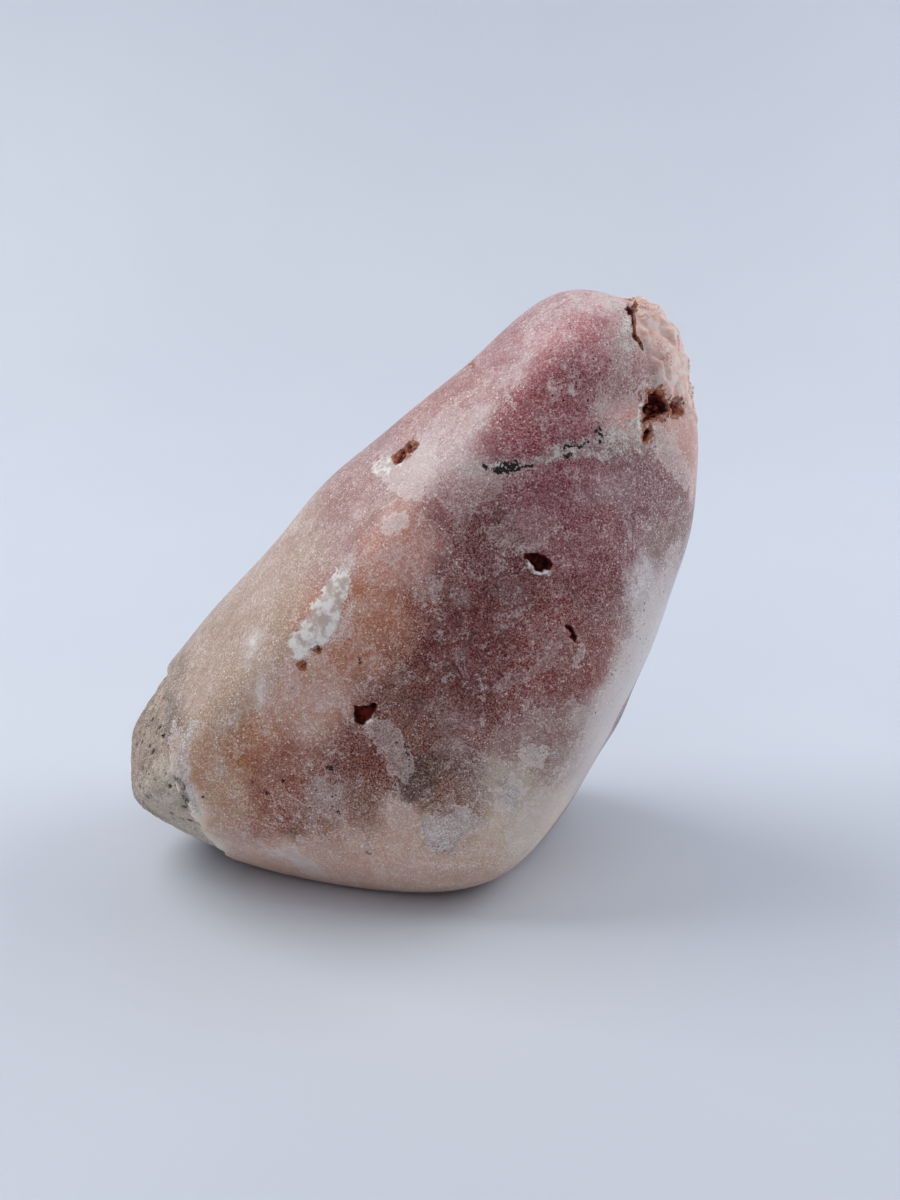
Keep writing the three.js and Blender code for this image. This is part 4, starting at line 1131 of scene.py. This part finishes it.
def stoneMaterial():
    material, tree, shader, place = startMaterial("polishedAmethyst")
    finish = stoneFinish
    tint = attributeOf(tree, "tint").outputs["Color"]
    field = {name: attributeOf(tree, name).outputs["Fac"] for name in stoneFields}
    noise = {name: noiseOf(tree, place, *shape).outputs[0] for name, shape in stoneNoises.items()}
    clots, patchy, hue = noise["clots"], noise["patchy"], noise["hue"]
    gritty = ramp(tree, noise["gritty"], 0.38, 0.62, 0.55, 1.3)

    def patch(name, **changes):
        return useGroup(tree, raggedEdge, Vector=place, Field=field[name],
                        **{**patchEdges[name], **changes})[0]

    def between(value, low, high, first, second):    # one finish colour fading into another
        return mixColour(tree, ramp(tree, value, low, high), finish[first], finish[second])

    threads, grey = patch("threads"), patch("grey")
    veil = times(tree, patch("veil"), field["veilShare"])
    edge = patch("veil", Softness=finish["fringeSoftness"])
    fringe = times(tree, minus(tree, 1.0, edge), edge, finish["fringeStrength"],
                   field["veilShare"])
    amount = addAll(tree, finish["fleckAmount"], centred(tree, patchy, 0.9),
                    times(tree, threads, 0.5), times(tree, grey, 0.45),
                    times(tree, field["frostAndHighlights"], 0.15), times(tree, veil, 0.6), fringe)
    grain = useGroup(tree, sugarGrain, Vector=place, Scale=finish["grainScale"], Amount=amount)
    grainTone, crumbs = grain["Tone"], grain["Fleck"]

    depth = fill(tree, addNode(tree, "ShaderNodeRGBToBW"), {0: tint}).outputs[0]

    def byDepth(dark, pale, low=0.05, high=0.4):    # values at dark and pale tints
        return ramp(tree, depth, low, high, dark, pale)

    contrast = times(tree, gritty, byDepth(finish["darkContrast"], finish["paleContrast"]))
    tone = addAll(tree, byDepth(finish["darkMiddle"], finish["toneMiddle"]),
                  centred(tree, noise["cloud"], finish["cloudContrast"]),
                  centred(tree, clots, finish["clotContrast"]),
                  centred(tree, patchy, finish["patchContrast"]),
                  times(tree, contrast, centred(tree, grainTone, finish["grainContrast"])))
    deep, bright = (fill(tree, addNode(tree, "ShaderNodeGamma"),
                         {"Color": tint, "Gamma": finish[name]}).outputs[0]
                    for name in ("deepening", "brightening"))
    pale = mixColour(tree, byDepth(finish["darkPaling"], finish["paling"]), bright,
                     finish["paleFleck"])
    colour = mixColour(tree, tone, deep, pale)
    mauve = times(tree, ramp(tree, hue, 0.48, 0.62, 0, finish["mauveShare"]),
                  byDepth(1.0, 0.35, 0.1, 0.5))
    lightness = byDepth(0.65, 1.0, high=0.35)
    rimWhere = times(tree, ramp(tree, patchy, 0.44, 0.58, 0.1, 1.0),
                     byDepth(finish["rimStrength"], 0.55, 0.15, 0.5))
    haze = byDepth(0.01, 0.05, high=0.3)
    rims = []
    for scale, level in finish["rims"]:
        rim = useGroup(tree, sheetRim, Vector=place, Scale=scale, Level=level,
                       Width=finish["rimWidth"])
        rims.append(addAll(tree, times(tree, rim["Rim"], rimWhere),
                           times(tree, rim["Sheet"], haze)))

    # soft white clouds laid over the colour: frosty quartz in part, and in part painted highlights
    # (glints, ridge glare, a flank reflection)
    frostAndHighlights = times(tree, field["frostAndHighlights"], ramp(tree, clots, 0.25, 0.75, 0.3, 1.2),
                  ramp(tree, grainTone, 0.35, 0.65, 0.7, 1.1))
    brightFringe = mathNode(tree, "MULTIPLY", fringe,
                            ramp(tree, grainTone, 0.4, 0.56, 0.25, 0.85), clamp=True)
    greyMix = addAll(tree, clots, centred(tree, grainTone, 1.6))
    endTone = addAll(tree, patchy, centred(tree, clots, 0.8), centred(tree, grainTone, 2.2))
    ends = mixColour(tree, ramp(tree, hue, 0.46, 0.6, 0, 0.6),
                     between(endTone, 0.4, 0.62, "endGrey", "endCream"), finish["endPink"])
    # painted glints: tiny highlights scattered as dots
    sparkles = useGroup(tree, scatteredGrains, Vector=place, Scale=finish["sparkleScale"],
                        Amount=times(tree, gritty, finish["sparkleAmount"]),
                        Size=finish["sparkleSize"])[0]
    specks = useGroup(tree, scatteredGrains, Vector=place, Scale=finish["speckScale"],
                      Amount=times(tree, field["specks"], finish["speckAmount"]),
                      Size=finish["speckSize"])[0]
    stainTone = addAll(tree, grainTone, centred(tree, clots, 0.8))
    rustShade = mixColour(tree, ramp(tree, crumbs, 0.1, 0.8, 0, 0.7),
                          between(stainTone, 0.4, 0.6, "rustDark", "rustColour"),
                          finish["rustCrumb"])
    sides = fill(tree, addNode(tree, "ShaderNodeSeparateXYZ"), {0: place})
    stained = ramp(tree, sides.outputs[0], *finish["stainEdge"])
    inside = mixColour(tree, stained, finish["poreColour"],
                       between(clots, 0.42, 0.6, "deepRed", "hollowRed"))
    coats = [    # share and colour, from the lowest up
        (mauve, finish["mauveColour"]),
        (rims[0], finish["rimColour"]),
        (rims[1], finish["rimColour"]),
        # white clouds and painted highlights
        (frostAndHighlights, finish["cloudAndHighlightColour"]),
        # pale sheets, and the painted sheen on the flank
        (times(tree, veil, ramp(tree, grainTone, 0.38, 0.6, 0.4, 1.2)), finish["veilAndSheenColour"]),
        (brightFringe, finish["rimColour"]),
        (times(tree, threads, ramp(tree, grainTone, 0.4, 0.6, 0.0, 0.75)), finish["paleFleck"]),
        (times(tree, grey, ramp(tree, clots, 0.36, 0.6, 0.4, 0.95)),
         between(greyMix, 0.44, 0.58, "greyColour", "greyWhite")),
        (times(tree, field["end"], finish["endShare"]), ends),
        (times(tree, field["crust"], finish["crustShare"]),
         between(clots, 0.42, 0.6, "crustPink", "crustColour")),
        (times(tree, crumbs, byDepth(0.8, 0.6, 0.1, 0.4)),
         mixColour(tree, lightness, pale, finish["paleFleck"])),
        # painted glints
        (times(tree, sparkles, byDepth(0.8, 0.95, high=0.35)),
         mixColour(tree, lightness, pale, finish["sparkleColour"])),
        (times(tree, patch("cream"), ramp(tree, grainTone, 0.34, 0.58, 0.75, 1.0)),
         between(clots, 0.42, 0.62, "creamColour", "creamShadow")),
        (times(tree, patch("olive"), ramp(tree, stainTone, 0.42, 0.58, 0.95, 0.45)),
         finish["oliveColour"]),
        (times(tree, patch("rust"), ramp(tree, clots, 0.34, 0.5, 0.55, 0.95), stained),
         rustShade),
        (specks, finish["blackGrain"]),
        (times(tree, patch("black"), ramp(tree, noise["crumbled"], 0.38, 0.42)),
         finish["blackGrain"]),
        (ramp(tree, field["hollow"], 0.08, 0.35), inside),
        (ramp(tree, field["pores"], 0.1, 0.7, 0, 0.85), finish["poreColour"]),
    ]
    for share, shade in coats:
        colour = mixColour(tree, share, colour, shade)

    coarse = mathNode(tree, "MAXIMUM", field["crust"], field["end"])
    coarse = mathNode(tree, "MAXIMUM", coarse, ramp(tree, field["hollow"], 0, 0.4))
    base = ramp(tree, coarse, 0, 1, finish["polishRoughness"], finish["roughRoughness"])
    relief = ramp(tree, coarse, 0, 1, finish["polishBump"], finish["crustBump"])
    height = times(tree, grain["Height"], ramp(tree, field["end"], 0, 1, relief, 1.0))
    fill(tree, shader, {
        "Base Color": colour,
        "Roughness": addAll(tree, base, centred(tree, grainTone, 0.12),
                            times(tree, crumbs, 0.12)),
        "Normal": bumpOf(tree, height, finish["bumpStrength"], finish["bumpDistance"]),
        "IOR": quartzIor,
        "Specular IOR Level": 0.28,
        "Subsurface Weight": 0.15,
        "Subsurface Radius": (0.004, 0.002, 0.0016),
        "Subsurface Scale": 1.0,
    })
    return material


crystalCrust = {
    "width": 1.1,
    "length": 1.5,
    "perSquareMetre": 1.1e6,
    "seed": 5,
    "insideBy": 0.25,
    "deeperThan": 2.5,
    "dark": (0.15, 0.012, 0.010, 1),
    "light": (0.42, 0.09, 0.05, 1),
    "fleck": (0.5, 0.35, 0.3, 1),
}
crustSugar = {
    "width": 0.6,
    "length": 0.36,
    "perSquareMetre": 2.2e6,
    "seed": 9,
    "patchSize": 6,
    "patchSeed": 19,
    "bare": -0.05,
    "crest": 139,
    "pink": (0.96, 0.60, 0.52, 1),
    "pale": (1.0, 0.84, 0.77, 1),
    "white": (1.0, 0.90, 0.86, 1),
}


def crystalMaterial():
    material, tree, shader, place = startMaterial("vugCrystal")
    grain = useGroup(tree, sugarGrain, Vector=place, Scale=700.0, Amount=0.4)
    cloud = noiseOf(tree, place, 500.0, 3, 0.6).outputs[0]
    colour = mixColour(tree, ramp(tree, cloud, 0.4, 0.62), crystalCrust["dark"],
                       crystalCrust["light"])
    colour = mixColour(tree, times(tree, grain["Fleck"], 0.25), colour, crystalCrust["fleck"])
    fill(tree, shader, {
        "Base Color": colour,
        "Roughness": ramp(tree, cloud, 0.3, 0.7, 0.12, 0.3),
        "Normal": bumpOf(tree, grain["Height"], 0.3, 0.0002),
        "IOR": quartzIor,
    })
    return material


def sugarMaterial():
    material, tree, shader, place = startMaterial("crustSugar")
    cloud = noiseOf(tree, place, 260.0, 3, 0.6).outputs[0]
    grain = noiseOf(tree, place, 1500.0, 2, 0.6).outputs[0]
    colour = mixColour(tree, ramp(tree, cloud, 0.38, 0.6), crustSugar["pink"],
                       crustSugar["pale"])
    colour = mixColour(tree, ramp(tree, grain, 0.45, 0.7, 0, 0.5), colour, crustSugar["white"])
    fill(tree, shader, {
        "Base Color": colour,
        "Roughness": 0.45,
        "Specular IOR Level": 0.25,
        "IOR": quartzIor,
    })
    return material


crystalShape = {"sides": 6, "shoulder": 0.42, "shaft": 0.6, "lean": 0.5, "sizes": (0.5, 1.25)}


def crystalTree(name, material):    # stands six-sided crystals on every face it is given
    tree = bpy.data.node_groups.new(name, "GeometryNodeTree")
    for title, side, kind in (("Ground", "INPUT", "Geometry"), ("Crystal Width", "INPUT", "Float"),
                              ("Crystal Length", "INPUT", "Float"),
                              ("Density", "INPUT", "Float"), ("Seed", "INPUT", "Int"),
                              ("Crystals", "OUTPUT", "Geometry")):
        tree.interface.new_socket(title, in_out=side, socket_type="NodeSocket" + kind)
    given = addNode(tree, "NodeGroupInput").outputs
    out = addNode(tree, "NodeGroupOutput").inputs
    shape, seed = crystalShape, given["Seed"]

    def grow(kind, values, **settings):
        return fill(tree, addNode(tree, kind, **settings), values).outputs

    def cone(bottom, top, tall):    # shares of the crystal's width and length
        return grow("GeometryNodeMeshCone", {
            "Vertices": shape["sides"],
            "Radius Top": times(tree, given["Crystal Width"], top),
            "Radius Bottom": times(tree, given["Crystal Width"], bottom),
            "Depth": times(tree, given["Crystal Length"], tall),
        })["Mesh"]

    shaft = cone(0.5, shape["shoulder"], shape["shaft"])
    tip = cone(shape["shoulder"], 0.0, 1 - shape["shaft"])
    raised = grow("ShaderNodeCombineXYZ", {
        "Z": times(tree, given["Crystal Length"], shape["shaft"])})[0]
    lifted = grow("GeometryNodeTransform", {"Geometry": tip, "Translation": raised})[0]
    joined = addNode(tree, "GeometryNodeJoinGeometry")
    for half in (shaft, lifted):
        tree.links.new(half, joined.inputs[0])
    scatter = grow("GeometryNodeDistributePointsOnFaces", {
        "Mesh": given["Ground"], "Density": given["Density"], "Seed": seed},
        distribute_method="RANDOM")
    lean = grow("FunctionNodeRandomValue", {
        0: (-shape["lean"], -shape["lean"], 0), 1: (shape["lean"], shape["lean"], 6.283),
        "Seed": seed}, data_type="FLOAT_VECTOR")[0]
    turned = grow("FunctionNodeRotateEuler", {0: scatter["Rotation"], 1: lean},
                  rotation_type="EULER", space="LOCAL")[0]
    low, high = shape["sizes"]
    size = grow("FunctionNodeRandomValue", {2: low, 3: high, "Seed": seed}, data_type="FLOAT")[1]
    stand = grow("GeometryNodeInstanceOnPoints", {
        "Points": scatter["Points"], "Instance": joined.outputs[0], "Rotation": turned,
        "Scale": size})[0]
    real = grow("GeometryNodeRealizeInstances", {0: stand})[0]
    painted = grow("GeometryNodeSetMaterial", {"Geometry": real, "Material": material})[0]
    plug(tree, painted, out["Crystals"])
    return tree


def groundFrom(stone, keep, name):    # a copy of the stone's faces whose corners are all kept
    bm = bmesh.new()
    bm.from_mesh(stone.data)
    bm.verts.ensure_lookup_table()
    spare = [vert for vert, kept in zip(bm.verts, keep) if not kept]
    bmesh.ops.delete(bm, geom=spare, context="VERTS")
    ground = bpy.data.meshes.new(name)
    bm.to_mesh(ground)
    bm.free()
    piece = bpy.data.objects.new(name, ground)
    bpy.context.collection.objects.link(piece)
    return piece


def growCrystals(ground, tree, crystals):
    modifier = ground.modifiers.new("druse", "NODES")
    modifier.node_group = tree
    wanted = {"Crystal Width": crystals["width"] * millimetre,
              "Crystal Length": crystals["length"] * millimetre,
              "Density": crystals["perSquareMetre"], "Seed": crystals["seed"]}
    for item in tree.interface.items_tree:
        if item.in_out == "INPUT" and item.name in wanted:
            modifier[item.identifier] = wanted[item.name]
    seen = ground.evaluated_get(bpy.context.evaluated_depsgraph_get())
    grown = bpy.data.meshes.new_from_object(seen)
    ground.modifiers.remove(modifier)
    ground.data = grown
    report(f"{ground.name} has {len(grown.polygons)} faces")


studio = {
    "floorColour": (0.67, 0.72, 0.81, 1),
    "floorCloud": (0.8, 0.82, 0.88, 1),
    "worldColour": (0.92, 0.95, 1.0, 1),
    "worldStrength": 0.25,
    "sweep": {"front": -1.2, "depth": 0.62, "width": 2.4, "rise": 1.4, "bend": 0.25, "steps": 12},
    "lights": {    # place, aim, size, power, colour
        "windowLight": ((-0.55, 0.15, 0.75), (0, 0, 0.06), 0.7, 5.1, (1.0, 0.99, 0.98)),
        "rightLight": ((0.65, 0.2, 0.5), (0.03, 0, 0.07), 0.6, 3.0, (0.97, 0.98, 1.0)),
        "frontFill": ((-0.1, -0.65, 0.85), (0, 0, 0.06), 0.6, 0.85, (1, 1, 1)),
    },
}
viewpoint = {"target": (10, 1, 68), "pitch": 19.0, "distance": 450, "lens": 54.0}


def floorMaterial():
    material, tree, shader, place = startMaterial("paleSurface")
    cloud = noiseOf(tree, place, 9.0, 4, 0.5).outputs[0]
    colour = mixColour(tree, ramp(tree, cloud, 0.3, 0.7, 0, 0.12), studio["floorColour"],
                       studio["floorCloud"])
    fill(tree, shader, {"Base Color": colour, "Roughness": 0.6})
    return material


def makeStudio():
    sweep = studio["sweep"]
    depth, bend, width = sweep["depth"], sweep["bend"], sweep["width"]
    profile = [(sweep["front"], 0.0), (depth - bend, 0.0)]
    for step in range(1, sweep["steps"] + 1):
        turn = step / sweep["steps"] * math.pi / 2
        profile.append((depth - bend + bend * math.sin(turn), bend * (1 - math.cos(turn))))
    profile.append((depth, sweep["rise"]))
    verts = [(side * width, y, z) for y, z in profile for side in (-1, 1)]
    faces = [(2 * i, 2 * i + 1, 2 * i + 3, 2 * i + 2) for i in range(len(profile) - 1)]
    mesh = bpy.data.meshes.new("paleSweep")
    mesh.from_pydata(verts, [], faces)
    mesh.polygons.foreach_set("use_smooth", [True] * len(mesh.polygons))
    mesh.materials.append(floorMaterial())
    floor = bpy.data.objects.new("paleSweep", mesh)
    bpy.context.collection.objects.link(floor)

    world = bpy.data.worlds.new("softRoom")
    world.use_nodes = True
    sky = world.node_tree.nodes["Background"]
    sky.inputs["Color"].default_value = studio["worldColour"]
    sky.inputs["Strength"].default_value = studio["worldStrength"]
    bpy.context.scene.world = world
    for name, (place, aim, size, power, colour) in studio["lights"].items():
        light = bpy.data.lights.new(name, "AREA")
        light.size = size
        light.energy = power
        light.color = colour
        lamp = bpy.data.objects.new(name, light)
        lamp.location = place
        lamp.rotation_euler = (Vector(aim) - Vector(place)).to_track_quat("-Z", "Y").to_euler()
        bpy.context.collection.objects.link(lamp)


def makeCamera():
    pitch = math.radians(viewpoint["pitch"])
    target = Vector(viewpoint["target"]) * millimetre
    ahead = Vector((0, math.cos(pitch), -math.sin(pitch)))
    lens = bpy.data.cameras.new("photoCamera")
    lens.sensor_fit = "VERTICAL"
    lens.sensor_height = 36
    lens.lens = viewpoint["lens"]
    lens.clip_start = 0.01
    camera = bpy.data.objects.new("photoCamera", lens)
    camera.location = target - ahead * viewpoint["distance"] * millimetre
    camera.rotation_euler = ahead.to_track_quat("-Z", "Y").to_euler()
    bpy.context.collection.objects.link(camera)
    bpy.context.scene.camera = camera


makeCamera()
makeStudio()
bpy.context.scene.view_settings.view_transform = "Standard"
report("camera, floor and light are set")

stone, smoothPoints, made = makeStone()
stone.data.materials.append(stoneMaterial())
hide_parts("stone")
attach(stone, "root")

druse = crystalTree("crystalDruse", crystalMaterial())
inVug = made["insides"]["vug"] > crystalCrust["insideBy"]
inVug &= made["depths"] > crystalCrust["deeperThan"]
vugCrystals = groundFrom(stone, inVug, "vugCrystals")
growCrystals(vugCrystals, druse, crystalCrust)
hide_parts("vug_crystals")
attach(vugCrystals, "root")

sugar = crystalTree("sugarCrystals", sugarMaterial())
patches = layeredNoise(smoothPoints, crustSugar["patchSize"], crustSugar["patchSeed"], 2)
sugared = (patches > crustSugar["bare"]) | (smoothPoints[:, 2] > crustSugar["crest"])
onCrust = (made["cover"] > 0.55) & (made["depths"] < 0.05) & sugared
crustCrystals = groundFrom(stone, onCrust, "crustCrystals")
growCrystals(crustCrystals, sugar, crustSugar)
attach(crustCrystals, "root")

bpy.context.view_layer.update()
report("done")
